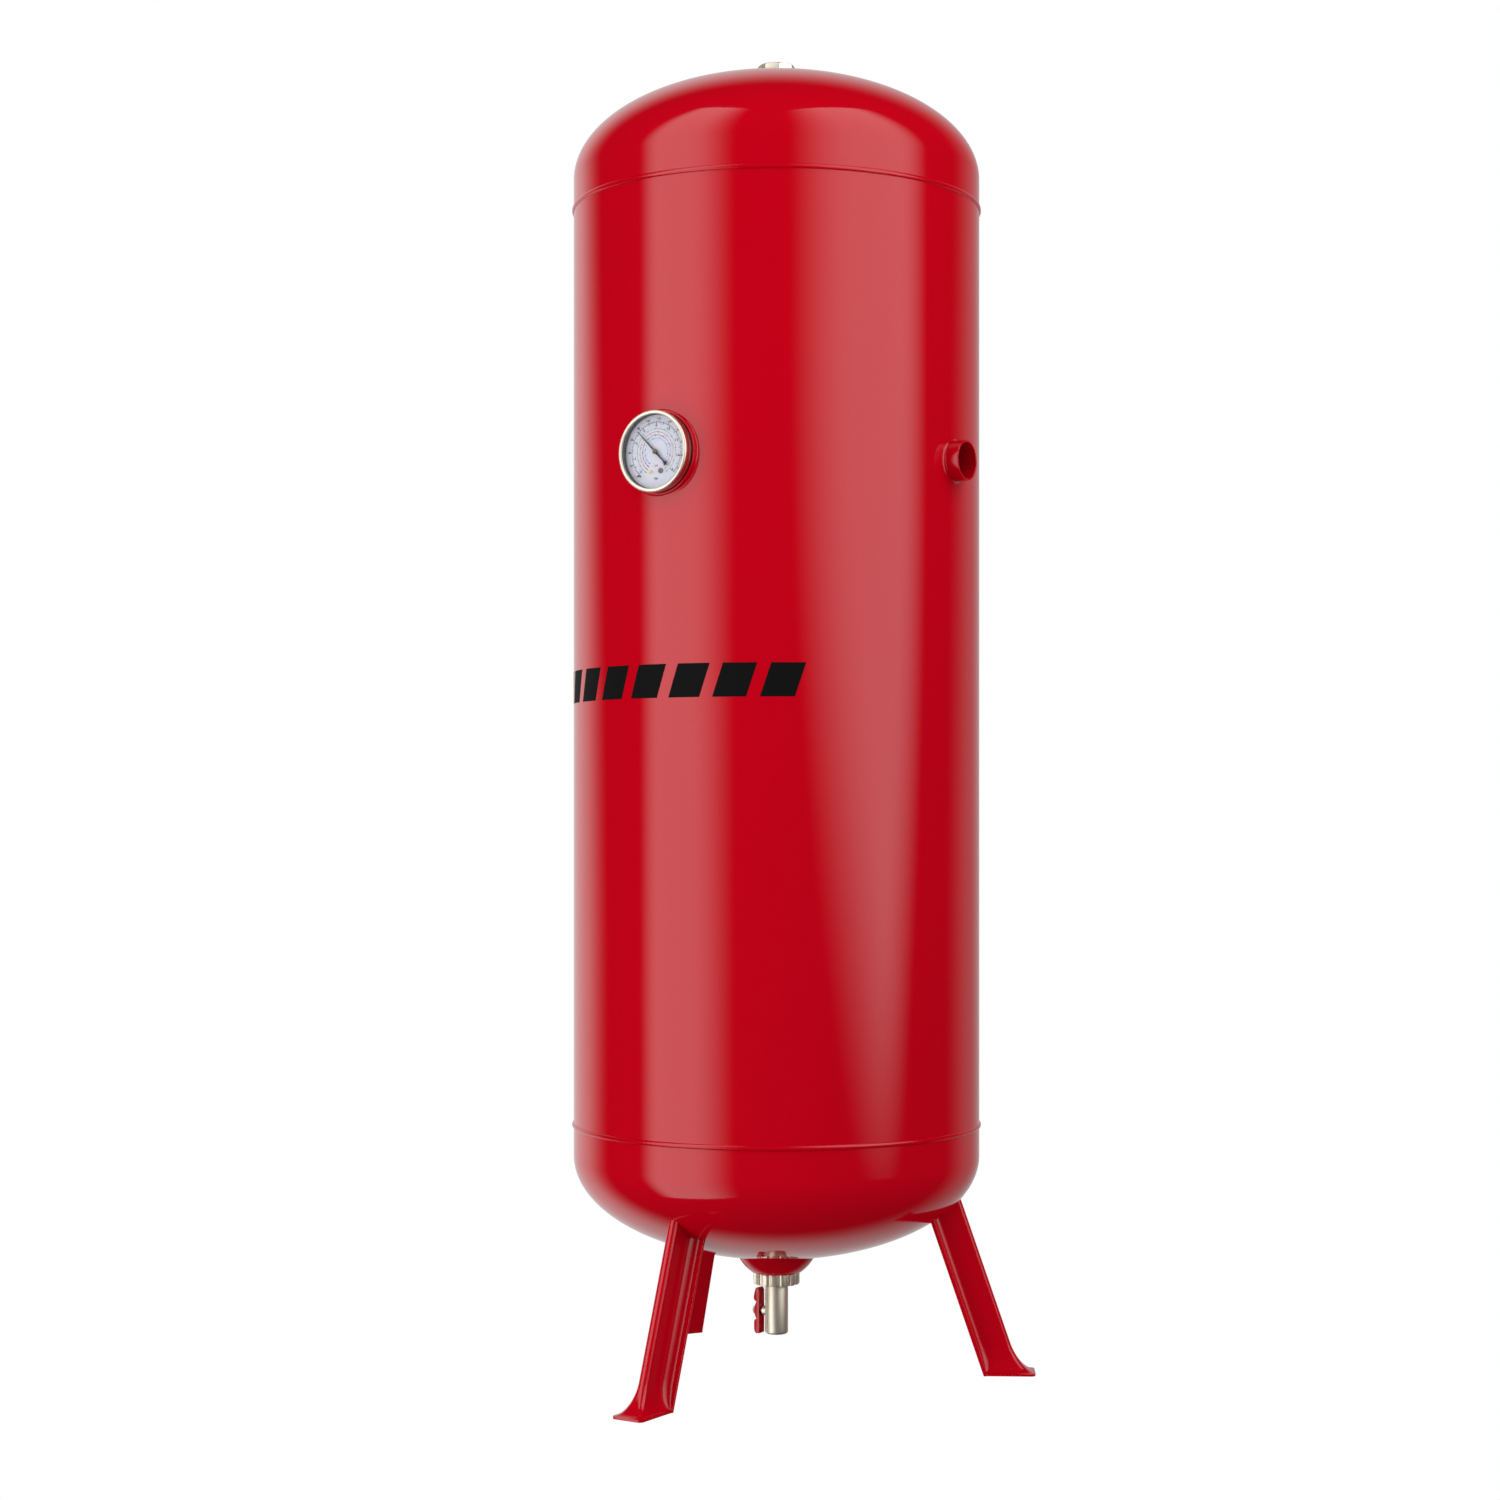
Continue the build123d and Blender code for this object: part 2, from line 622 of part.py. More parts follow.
def tooth_ring(teeth, centres):
    """The outline points of teeth at the given centre angles, in degrees, anticlockwise."""
    pitch = GEAR_MODULE * teeth / 2
    flank = involute_flank(teeth, pitch - DEDENDUM * GEAR_MODULE, pitch + ADDENDUM * GEAR_MODULE)
    outline = []
    for centre in centres:
        for radius, lag in flank:
            outline.append(polar(radius, centre - lag * 180 / pi))
        for radius, lag in reversed(flank):
            outline.append(polar(radius, centre + lag * 180 / pi))
    return outline


# the pinion has a tooth gap straight down, where the sector's middle tooth sits at rest
PINION_PITCH = 360 / PINION_TEETH
pinion_centres = [-90 + PINION_PITCH * (i + 0.5) for i in range(PINION_TEETH)]
with BuildPart() as pinion_arbor:
    with BuildSketch(gauge_plane(BACK_PLATE_AT)):
        Circle(ARBOR_RADIUS)
    extrude(amount=HUB_FRONT - BACK_PLATE_AT)
    with BuildSketch(gauge_plane(GEAR_AT - GEAR_THICKNESS / 2)):
        with BuildLine():
            Polyline(*tooth_ring(PINION_TEETH, pinion_centres), close=True)
        make_face()
    extrude(amount=2 * GEAR_THICKNESS)
finish(pinion_arbor, "pinion_arbor")

SECTOR_PITCH = 360 / SECTOR_TEETH
SECTOR_ARBOR_RADIUS = 1.2
TAIL_PIN_RADIUS = 0.8
SECTOR_RIGHT_TEETH = 10
SECTOR_LEFT_TEETH = 6
SECTOR_RIM = 1.6            # solid rim below the teeth
SECTOR_HUB_RADIUS = 3.0
ARM_HALF = 1.2
ARM_INSET = 6.0             # degrees in from the rim's ends
ARM_SPREAD = 3.0            # degrees either side, where an arm meets the rim
TAIL_HALF = 2.0
TAIL_SPREAD = 10.0
sector_centres = [90 + SECTOR_PITCH * i for i in range(-SECTOR_RIGHT_TEETH, SECTOR_LEFT_TEETH + 1)]


def sector_plane(distance):
    plane = gauge_plane(distance)
    return plane.shift_origin(plane.from_local_coords(Vector(0, -SECTOR_DROP, 0)))


with BuildPart() as sector_gear:
    with BuildSketch(sector_plane(GEAR_AT)):
        rim_radius = SECTOR_RADIUS - DEDENDUM * GEAR_MODULE - SECTOR_RIM
        right_end = sector_centres[0] - SECTOR_PITCH / 2
        left_end = sector_centres[-1] + SECTOR_PITCH / 2
        with BuildLine():
            Polyline(
                polar(rim_radius, left_end),
                polar(rim_radius, right_end),
                *tooth_ring(SECTOR_TEETH, sector_centres),
                close=True,
            )
        make_face()
        for arm_angle in (right_end + ARM_INSET, left_end - ARM_INSET):
            with BuildLine():
                Polyline(
                    polar(ARM_HALF, arm_angle - 90),
                    polar(ARM_HALF, arm_angle + 90),
                    polar(rim_radius + SECTOR_RIM / 2, arm_angle + ARM_SPREAD),
                    polar(rim_radius + SECTOR_RIM / 2, arm_angle - ARM_SPREAD),
                    close=True,
                )
            make_face()
        with BuildLine():
            Polyline(
                polar(TAIL_HALF, TAIL_ANGLE - 90),
                polar(TAIL_HALF, TAIL_ANGLE + 90),
                polar(TAIL_RADIUS, TAIL_ANGLE + TAIL_SPREAD),
                polar(TAIL_RADIUS, TAIL_ANGLE - TAIL_SPREAD),
                close=True,
            )
        make_face()
        with Locations(polar(TAIL_RADIUS, TAIL_ANGLE)):
            Circle(EYE_RADIUS)
        Circle(SECTOR_HUB_RADIUS)
        Circle(SECTOR_ARBOR_RADIUS, mode=Mode.SUBTRACT)
        with Locations(polar(TAIL_RADIUS, TAIL_ANGLE)):
            Circle(TAIL_PIN_RADIUS, mode=Mode.SUBTRACT)
    extrude(amount=GEAR_THICKNESS)
finish(sector_gear, "sector_gear")

with BuildPart() as sector_arbor:
    with BuildSketch(sector_plane(BACK_PLATE_AT)):
        Circle(SECTOR_ARBOR_RADIUS)
    extrude(amount=FRONT_PLATE_AT + PLATE_THICKNESS - BACK_PLATE_AT)
finish(sector_arbor, "sector_arbor")

LINK_THICKNESS = 0.8
LINK_GAP = 0.3              # between the sector's tail and the link
TIP_LUG_THICKNESS = 1.2
LINK_AT = GEAR_AT + GEAR_THICKNESS + LINK_GAP
TIP_LUG_AT = LINK_AT - 2 * BACKLASH - TIP_LUG_THICKNESS
TAIL_PLACE = polar(TAIL_RADIUS, TAIL_ANGLE)
LINK_REACH = (28.0, 2.0)    # the tube tip's pivot, from the sector's pivot

with BuildPart() as tail_pin:
    with BuildSketch(sector_plane(GEAR_AT)):
        with Locations(TAIL_PLACE):
            Circle(TAIL_PIN_RADIUS)
    extrude(amount=LINK_AT + LINK_THICKNESS + LINK_GAP - GEAR_AT)
finish(tail_pin, "tail_pin")

with BuildPart() as link:
    along = Vector(LINK_REACH[0] - TAIL_PLACE[0], LINK_REACH[1] - TAIL_PLACE[1], 0)
    side = Vector(-along.Y, along.X, 0).normalized() * LINK_WIDTH / 2
    near = Vector(*TAIL_PLACE, 0)
    far = Vector(*LINK_REACH, 0)
    with BuildSketch(sector_plane(LINK_AT)):
        with BuildLine():
            Polyline(near - side, far - side, far + side, near + side, close=True)
        make_face()
        with Locations(near, far):
            Circle(EYE_RADIUS)
        with Locations(near):
            Circle(TAIL_PIN_RADIUS + RUNNING_GAP, mode=Mode.SUBTRACT)
        with Locations(far):
            Circle(TAIL_PIN_RADIUS, mode=Mode.SUBTRACT)
    extrude(amount=LINK_THICKNESS)
finish(link, "link")

PILLARS = ((-16.0, 3.0), (16.0, 3.0), (-11.0, -28.0))
PILLAR_RADIUS = 2.0


def movement_plate(distance):
    """One of the two plates that carry the arbors."""
    with BuildPart() as plate:
        with BuildSketch(gauge_plane(distance)):
            with Locations((0, -PLATE_DROP)):
                Rectangle(PLATE_SIDE, PLATE_SIDE)
            Circle(PLATE_RADIUS, mode=Mode.INTERSECT)
            Circle(ARBOR_RADIUS + RUNNING_GAP, mode=Mode.SUBTRACT)
            with Locations((0, -SECTOR_DROP)):
                Circle(SECTOR_ARBOR_RADIUS + RUNNING_GAP, mode=Mode.SUBTRACT)
        extrude(amount=PLATE_THICKNESS)
    return plate


finish(movement_plate(BACK_PLATE_AT), "back_plate")
finish(movement_plate(FRONT_PLATE_AT), "front_plate")

with BuildPart() as plate_pillars:
    with BuildSketch(gauge_plane(BACK_PLATE_AT + PLATE_THICKNESS)):
        with Locations(*PILLARS):
            Circle(PILLAR_RADIUS)
    extrude(amount=FRONT_PLATE_AT - BACK_PLATE_AT - PLATE_THICKNESS)
finish(plate_pillars, "plate_pillars")

# the hairspring: a flat spiral of ribbon from a collet on the arbor
SPRING_TURNS = 3.5
SPRING_START = 1.5
SPRING_END = 8.5
RIBBON = 0.25
RIBBON_HEIGHT = 0.8
SPRING_LIFT = 2.5           # over the gears' level
SPIRAL_STEPS = 56
with BuildPart() as hairspring:
    with BuildSketch(gauge_plane(GEAR_AT + SPRING_LIFT)):
        with BuildLine():
            tracks = []
            for offset_out in (0, RIBBON):
                track = []
                for step in range(SPIRAL_STEPS + 1):
                    share = step / SPIRAL_STEPS
                    spiral = SPRING_START + (SPRING_END - SPRING_START) * share + offset_out
                    track.append(polar(spiral, 360 * SPRING_TURNS * share))
                tracks.append(Spline(*track))
            Line(tracks[0] @ 0, tracks[1] @ 0)
            Line(tracks[0] @ 1, tracks[1] @ 1)
        make_face()
        Circle(SPRING_START + RIBBON / 2)
        Circle(ARBOR_RADIUS, mode=Mode.SUBTRACT)
    extrude(amount=RIBBON_HEIGHT)
finish(hairspring, "hairspring")

# ------------------------------------------------------------------ gauge: tube and stem
TUBE_MIDDLE = BACK_PLATE_AT + TUBE_WIDTH / 3
TUBE_ROUNDING = 0.45        # of the tube's height, outside
BORE_ROUNDING = 0.3
TUBE_INNER = TUBE_RADIUS - TUBE_HEIGHT / 2
TUBE_OUTER = TUBE_RADIUS + TUBE_HEIGHT / 2


def ring_sector(inner, outer, start, end):
    """The outline of a sector of a ring, between two angles."""
    CenterArc((0, 0), outer, start, end - start)
    CenterArc((0, 0), inner, start, end - start)
    Line(polar(inner, start), polar(outer, start))
    Line(polar(inner, end), polar(outer, end))


tube_x = gauge_plane(0, TUBE_START).x_dir
tube_plane = Plane(
    origin=gauge_plane(TUBE_MIDDLE, TUBE_START).origin, x_dir=tube_x, z_dir=tube_x.cross(GAUGE_SIDE)
)
with BuildPart() as bourdon_tube:
    with BuildSketch(tube_plane):
        with Locations((TUBE_RADIUS, 0)):
            RectangleRounded(TUBE_HEIGHT, TUBE_WIDTH, TUBE_HEIGHT * TUBE_ROUNDING)
            RectangleRounded(
                TUBE_HEIGHT - 2 * TUBE_WALL,
                TUBE_WIDTH - 2 * TUBE_WALL,
                TUBE_HEIGHT * BORE_ROUNDING,
                mode=Mode.SUBTRACT,
            )
    revolve(axis=Axis((0, 0, PORT_Z), (0, 1, 0)), revolution_arc=TUBE_ARC)
finish(bourdon_tube, "bourdon_tube")

TUBE_END = TUBE_START - TUBE_ARC
LUG_ARC = 20.0
TIP_PLACE = (LINK_REACH[0], LINK_REACH[1] - SECTOR_DROP)
with BuildPart() as tube_tip:
    with BuildSketch(gauge_plane(TUBE_MIDDLE - TUBE_WIDTH / 2)):
        with BuildLine():
            ring_sector(TUBE_INNER, TUBE_OUTER, TUBE_END - CAP_ARC, TUBE_END)
        make_face()
    extrude(amount=TUBE_WIDTH)
    with BuildSketch(gauge_plane(TIP_LUG_AT)):
        with BuildLine():
            ring_sector(TUBE_INNER, TUBE_OUTER, TUBE_END - LUG_ARC, TUBE_END - CAP_ARC / 4)
        make_face()
        with Locations(TIP_PLACE):
            Circle(LUG_EYE_RADIUS)
            Circle(TAIL_PIN_RADIUS, mode=Mode.SUBTRACT)
    extrude(amount=TIP_LUG_THICKNESS)
finish(tube_tip, "tube_tip")

HOLDER_INNER = TUBE_INNER - HOLDER_LIP
HOLDER_OUTER = TUBE_OUTER + HOLDER_LIP
with BuildPart() as gauge_socket:
    # block inside the case: a disc under the movement and an arm out to the tube's holder
    with BuildSketch(gauge_plane(CASE_BACK + CASE_WALL)):
        Circle(SOCKET_BLOCK_RADIUS)
    extrude(amount=BACK_PLATE_AT - CASE_BACK - CASE_WALL)
    with BuildSketch(gauge_plane(CASE_BACK + CASE_WALL, TUBE_START + HOLDER_ARC / 2)):
        with Locations((TUBE_RADIUS / 2, 0)):
            Rectangle(TUBE_RADIUS, SOCKET_ARM_WIDTH)
    extrude(amount=TUBE_MIDDLE - TUBE_WIDTH / 2 - CASE_BACK - CASE_WALL - LOOSE_GAP)
    with BuildSketch(gauge_plane(CASE_BACK + CASE_WALL)):
        with BuildLine():
            ring_sector(HOLDER_INNER, HOLDER_OUTER, TUBE_START, TUBE_START + HOLDER_ARC)
        make_face()
    extrude(amount=TUBE_MIDDLE + TUBE_WIDTH / 2 - CASE_BACK - CASE_WALL)
    # stem through the case's back: shoulder, then the thread that screws into the well
    with BuildSketch(gauge_plane(CASE_BACK)):
        Circle(STEM_RADIUS)
    extrude(amount=CASE_WALL)
    with BuildSketch(gauge_plane(STEM_SEAT + WASHER_THICKNESS)):
        Circle(SHOULDER_RADIUS)
    extrude(amount=CASE_BACK - STEM_SEAT - WASHER_THICKNESS)
    with BuildSketch(gauge_plane(STEM_SEAT + WASHER_THICKNESS - STEM_LENGTH)):
        Circle(STEM_RADIUS)
    extrude(amount=STEM_LENGTH)
    with BuildSketch(gauge_plane(STEM_SEAT + WASHER_THICKNESS - STEM_LENGTH)):
        Circle(STEM_BORE)
    extrude(amount=STEM_LENGTH + STEM_RADIUS, mode=Mode.SUBTRACT)
finish(gauge_socket, "gauge_socket")

finish(
    ring_on(gauge_plane(STEM_SEAT), SHOULDER_RADIUS, STEM_RADIUS + THREAD_GAP, WASHER_THICKNESS),
    "stem_washer",
)

# ------------------------------------------------------------------ drain boss and ring nut
with BuildPart() as drain_boss:
    Sphere(DRAIN_SPHERE_RADIUS)
    drain_boss.part.position = (0, 0, DRAIN_SPHERE_Z)
    with BuildSketch(Plane.XY.offset(NUT_TOP_Z - DRAIN_SPHERE_RADIUS)):
        Circle(DRAIN_SPHERE_RADIUS)
    extrude(amount=DRAIN_SPHERE_RADIUS, mode=Mode.SUBTRACT)
    add(head_envelope(BOTTOM_HEAD_PLANE).part, mode=Mode.SUBTRACT)
    with BuildSketch(Plane.XY.offset(NUT_TOP_Z)):
        Circle(SHANK_RADIUS + THREAD_GAP)
    extrude(amount=DRAIN_SPHERE_RADIUS, mode=Mode.SUBTRACT)
finish(drain_boss, "drain_boss")

NUT_BOTTOM_Z = NUT_TOP_Z - NUT_HEIGHT
with BuildPart() as ring_nut:
    with BuildSketch(Plane.XY.offset(NUT_BOTTOM_Z)):
        Circle(NUT_RADIUS)
        with PolarLocations(NUT_RADIUS + SCALLOP_RADIUS * 0.35, NUT_LOBES):
            Circle(SCALLOP_RADIUS, mode=Mode.SUBTRACT)
        Circle(SHANK_RADIUS + THREAD_GAP, mode=Mode.SUBTRACT)
    extrude(amount=NUT_HEIGHT)
finish(ring_nut, "ring_nut")

# ------------------------------------------------------------------ drain valve
CAVITY_BOTTOM_Z = HANDLE_Z - BALL_RADIUS - CAVITY_MARGIN
CAVITY_TOP_Z = HANDLE_Z + BALL_RADIUS + CAVITY_MARGIN
SEAL_RADIUS = STEM_ROD_RADIUS + SEAL_THICKNESS * 0.8
INSERT_RADIUS = CAVITY_RADIUS + 2 * EDGE_BREAK


def valve_plane(distance):
    """A plane facing the handle's side of the valve, with its y up."""
    return Plane(origin=(-distance, 0, HANDLE_Z), x_dir=(0, -1, 0), z_dir=(-1, 0, 0))


with BuildPart() as valve_body:
    with BuildSketch(Plane.XY.offset(VALVE_BOTTOM_Z)):
        Circle(VALVE_RADIUS)
    extrude(amount=NUT_BOTTOM_Z - VALVE_BOTTOM_Z)
    fillet(valve_body.edges().filter_by(GeomType.CIRCLE).sort_by(Axis.Z)[0], VALVE_ROUNDING)
    with BuildSketch(Plane.XY.offset(NUT_BOTTOM_Z)):
        Circle(SHANK_RADIUS)
    extrude(amount=NUT_HEIGHT + SHANK_LENGTH)
    with BuildSketch(Plane.XY.offset(VALVE_BOTTOM_Z)):
        Circle(INSERT_RADIUS)
    extrude(amount=CAVITY_BOTTOM_Z - VALVE_BOTTOM_Z, mode=Mode.SUBTRACT)
    with BuildSketch(Plane.XY.offset(CAVITY_BOTTOM_Z)):
        Circle(CAVITY_RADIUS)
    extrude(amount=CAVITY_TOP_Z - CAVITY_BOTTOM_Z, mode=Mode.SUBTRACT)
    with BuildSketch(Plane.XY.offset(CAVITY_TOP_Z)):
        Circle(PORT_RADIUS)
    extrude(amount=NUT_TOP_Z + SHANK_LENGTH - CAVITY_TOP_Z, mode=Mode.SUBTRACT)
    with BuildSketch(valve_plane(0)):
        Circle(STEM_ROD_RADIUS + RUNNING_GAP)
    extrude(amount=VALVE_RADIUS, mode=Mode.SUBTRACT)
    with BuildSketch(valve_plane(VALVE_RADIUS - SEAL_DEPTH)):
        Circle(SEAL_RADIUS)
    extrude(amount=SEAL_DEPTH, mode=Mode.SUBTRACT)
finish(valve_body, "valve_body")

with BuildPart() as valve_insert:
    with BuildSketch(Plane.XY.offset(VALVE_BOTTOM_Z)):
        Circle(INSERT_RADIUS)
    extrude(amount=CAVITY_BOTTOM_Z - VALVE_BOTTOM_Z)
    with BuildSketch(Plane.XY.offset(VALVE_BOTTOM_Z)):
        Circle(PORT_RADIUS)
    extrude(amount=CAVITY_BOTTOM_Z - VALVE_BOTTOM_Z, mode=Mode.SUBTRACT)
    with BuildSketch(Plane.XY.offset(VALVE_BOTTOM_Z)):
        Circle(OUTLET_RADIUS)
    extrude(amount=OUTLET_DEPTH, mode=Mode.SUBTRACT)
finish(valve_insert, "valve_insert")

with BuildPart() as ball_seats:
    for seat_z in (CAVITY_BOTTOM_Z, CAVITY_TOP_Z - SEAT_HEIGHT):
        with BuildSketch(Plane.XY.offset(seat_z)):
            Circle(CAVITY_RADIUS)
            Circle(PORT_RADIUS, mode=Mode.SUBTRACT)
        extrude(amount=SEAT_HEIGHT)
    with Locations((0, 0, HANDLE_Z)):
        Sphere(BALL_RADIUS + BALL_GAP, mode=Mode.SUBTRACT)
finish(ball_seats, "ball_seats")

STEM_START = PORT_RADIUS + 1
with BuildPart() as drain_ball:
    with Locations((0, 0, HANDLE_Z)):
        Sphere(BALL_RADIUS)
    with BuildSketch(Plane.XY.offset(HANDLE_Z - BALL_RADIUS)):
        Circle(PORT_RADIUS)
    extrude(amount=2 * BALL_RADIUS, mode=Mode.SUBTRACT)
    with BuildSketch(valve_plane(STEM_START)):
        Circle(STEM_ROD_RADIUS)
    extrude(amount=BALL_RADIUS, mode=Mode.SUBTRACT)
finish(drain_ball, "drain_ball")

HANDLE_BACK = HANDLE_FACE + HANDLE_DEPTH
with BuildPart() as drain_stem:
    with BuildSketch(valve_plane(STEM_START)):
        Circle(STEM_ROD_RADIUS)
    extrude(amount=HANDLE_BACK + HANDLE_NUT_HEIGHT - STEM_START)
finish(drain_stem, "drain_stem")

SEAL_SEAT = valve_plane(VALVE_RADIUS - SEAL_DEPTH)
finish(ring_on(SEAL_SEAT, SEAL_RADIUS, STEM_ROD_RADIUS + RUNNING_GAP, SEAL_THICKNESS), "stem_seal")

with BuildPart() as stem_gland:
    with BuildSketch(valve_plane(VALVE_RADIUS - SEAL_DEPTH + SEAL_THICKNESS)):
        Circle(GLAND_RADIUS)
    extrude(amount=SEAL_DEPTH - SEAL_THICKNESS + GLAND_REACH)
    with BuildSketch(Plane.XY.offset(VALVE_BOTTOM_Z)):
        Circle(VALVE_RADIUS)
    extrude(amount=NUT_BOTTOM_Z - VALVE_BOTTOM_Z, mode=Mode.SUBTRACT)
    with BuildSketch(valve_plane(0)):
        Circle(STEM_ROD_RADIUS + RUNNING_GAP)
    extrude(amount=HANDLE_BACK, mode=Mode.SUBTRACT)
finish(stem_gland, "stem_gland")

WING_OFFSET = (HANDLE_LENGTH - WING_HEIGHT) / 2
with BuildPart() as drain_handle:
    with BuildSketch(valve_plane(HANDLE_FACE)):
        Rectangle(HANDLE_WIDTH, HANDLE_LENGTH)
        fillet(vertices(), HANDLE_ROUNDING)
        Circle(HANDLE_HUB_RADIUS)
    extrude(amount=HANDLE_PLATE)
    with BuildSketch(valve_plane(HANDLE_FACE + HANDLE_PLATE)):
        Circle(HANDLE_HUB_RADIUS)
        with Locations((0, WING_OFFSET), (0, -WING_OFFSET)):
            RectangleRounded(HANDLE_WIDTH, WING_HEIGHT, HANDLE_ROUNDING)
    extrude(amount=HANDLE_DEPTH - HANDLE_PLATE)
    with BuildSketch(valve_plane(HANDLE_FACE)):
        Circle(STEM_ROD_RADIUS)
    extrude(amount=HANDLE_DEPTH, mode=Mode.SUBTRACT)
finish(drain_handle, "drain_handle")

with BuildPart() as handle_nut:
    with BuildSketch(valve_plane(HANDLE_BACK)):
        RegularPolygon(HANDLE_NUT_RADIUS, 6)
        Circle(STEM_ROD_RADIUS, mode=Mode.SUBTRACT)
    extrude(amount=HANDLE_NUT_HEIGHT)
finish(handle_nut, "handle_nut")
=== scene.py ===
import bpy
import math
from mathutils import Matrix, Vector


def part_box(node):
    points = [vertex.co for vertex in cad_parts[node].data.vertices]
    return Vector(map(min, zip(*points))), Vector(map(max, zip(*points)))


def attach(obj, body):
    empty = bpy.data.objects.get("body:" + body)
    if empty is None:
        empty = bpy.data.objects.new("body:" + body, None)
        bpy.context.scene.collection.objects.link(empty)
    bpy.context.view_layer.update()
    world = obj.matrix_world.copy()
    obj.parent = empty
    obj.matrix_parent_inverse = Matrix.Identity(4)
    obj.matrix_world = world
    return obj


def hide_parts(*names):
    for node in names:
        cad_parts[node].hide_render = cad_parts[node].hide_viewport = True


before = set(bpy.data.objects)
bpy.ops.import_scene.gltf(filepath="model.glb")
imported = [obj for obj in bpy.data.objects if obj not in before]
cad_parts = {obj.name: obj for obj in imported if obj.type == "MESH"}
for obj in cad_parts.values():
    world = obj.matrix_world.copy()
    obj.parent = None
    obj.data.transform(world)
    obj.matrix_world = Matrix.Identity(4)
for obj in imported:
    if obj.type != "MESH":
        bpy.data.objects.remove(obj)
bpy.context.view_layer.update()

# ---------------------------------------------------------------- studio and camera
# A white surround that shines from behind, two tall soft boxes, and a camera at tank mid
# height. Nothing here is part of the receiver.
MM = 0.001
CAMERA_TURN = math.radians(32.5)      # from the gauge's side towards the outlet's
CAMERA_DISTANCE = 3.274
CAMERA_HEIGHT = 0.6976
FIELD_OF_VIEW = math.radians(31.6311)
SHIFT_RIGHT = -0.0177
SHIFT_UP = 0.0377
VIEW_END = 60.0


def linear(hex_colour):
    """An sRGB hex colour as linear RGBA."""
    parts = [int(hex_colour[i:i + 2], 16) / 255 for i in (1, 3, 5)]
    return [c / 12.92 if c <= 0.04045 else ((c + 0.055) / 1.055) ** 2.4 for c in parts] + [1.0]


def add_node(tree, kind, settings=None, links=None):
    """Adds a node, sets its properties and sockets, and links sockets to other nodes' outputs."""
    node = tree.nodes.new(kind)
    for key, value in (settings or {}).items():
        if isinstance(key, int) or key in node.inputs:
            node.inputs[key].default_value = value
        else:
            setattr(node, key, value)
    for key, (source, output) in (links or {}).items():
        tree.links.new(source.outputs[output], node.inputs[key])
    return node


def toward(turn, distance, height):
    """A point round the tank, its turn measured from the gauge's side towards the outlet's."""
    return Vector((math.sin(turn) * distance, -math.cos(turn) * distance, height))


bpy.ops.object.select_all(action="DESELECT")
bpy.ops.object.camera_add(location=toward(CAMERA_TURN, CAMERA_DISTANCE, CAMERA_HEIGHT))
camera = bpy.context.object
camera.rotation_euler = (math.radians(90), 0, CAMERA_TURN)
camera.data.angle = FIELD_OF_VIEW
camera.data.shift_x = SHIFT_RIGHT
camera.data.shift_y = SHIFT_UP
camera.data.clip_end = VIEW_END
bpy.context.scene.camera = camera
bpy.context.scene.view_settings.view_transform = "Standard"

BOX_DISTANCE = 2.6
BOX_BOTTOM, BOX_TOP = -2.1, 7.0
BOX_STRAIGHT = 1.7          # the level below which a box's sides close in
BOX_STRENGTH = 6.6


def soft_box(name, turn, width, soft_left, soft_right, close_left=0.0, close_right=0.0):
    """A tall soft box aimed at the tank, fading to either side and closing in towards the floor."""
    middle = toward(CAMERA_TURN + turn, BOX_DISTANCE, (BOX_BOTTOM + BOX_TOP) / 2)
    bpy.ops.object.light_add(type="AREA", location=middle)
    lamp = bpy.context.object
    lamp.name = name
    lamp.rotation_euler = (math.radians(90), 0, CAMERA_TURN + turn)
    lamp.data.shape = "RECTANGLE"
    lamp.data.size = width
    lamp.data.size_y = BOX_TOP - BOX_BOTTOM
    lamp.data.energy = 1.0
    lamp.data.normalize = False
    lamp.data.use_nodes = True
    tree = lamp.data.node_tree
    tree.nodes.clear()
    where = add_node(tree, "ShaderNodeNewGeometry")
    spot = add_node(tree, "ShaderNodeSeparateXYZ", links={0: (where, "Parametric")})
    curved = BOX_STRAIGHT - BOX_BOTTOM
    below = add_node(tree, "ShaderNodeMapRange", {"From Min": curved / (BOX_TOP - BOX_BOTTOM),
                     "From Max": 0.0, "To Max": curved}, {"Value": (spot, "Y")})
    curve = add_node(tree, "ShaderNodeMath", {"operation": "MULTIPLY"}, {0: (below, 0), 1: (below, 0)})
    parts = []
    sides = ((0.0, 1.0, soft_left, close_left), (1.0, -1.0, soft_right, close_right))
    for edge, inward, soft, close in sides:
        shift = add_node(tree, "ShaderNodeMath", {"operation": "MULTIPLY_ADD", 1: inward * close, 2: edge},
                         {0: (curve, 0)})
        inside = add_node(tree, "ShaderNodeMath", {"operation": "SUBTRACT"}, {0: (spot, "X"), 1: (shift, 0)})
        parts.append(add_node(tree, "ShaderNodeMapRange", {"interpolation_type": "SMOOTHSTEP",
                              "From Max": inward * soft}, {"Value": (inside, 0)}))
    both = add_node(tree, "ShaderNodeMath", {"operation": "MULTIPLY"}, {0: (parts[0], 0), 1: (parts[1], 0)})
    power = add_node(tree, "ShaderNodeMath", {"operation": "MULTIPLY", 1: BOX_STRENGTH}, {0: (both, 0)})
    glow = add_node(tree, "ShaderNodeEmission", {"Color": (1, 1, 1, 1)}, {"Strength": (power, 0)})
    add_node(tree, "ShaderNodeOutputLight", links={"Surface": (glow, 0)})


soft_box("soft_box_left", math.radians(-50), 2.9, 0.25, 0.45)
soft_box("soft_box_right", math.radians(48), 4.7, 0.45, 0.3, close_left=0.14, close_right=0.08)

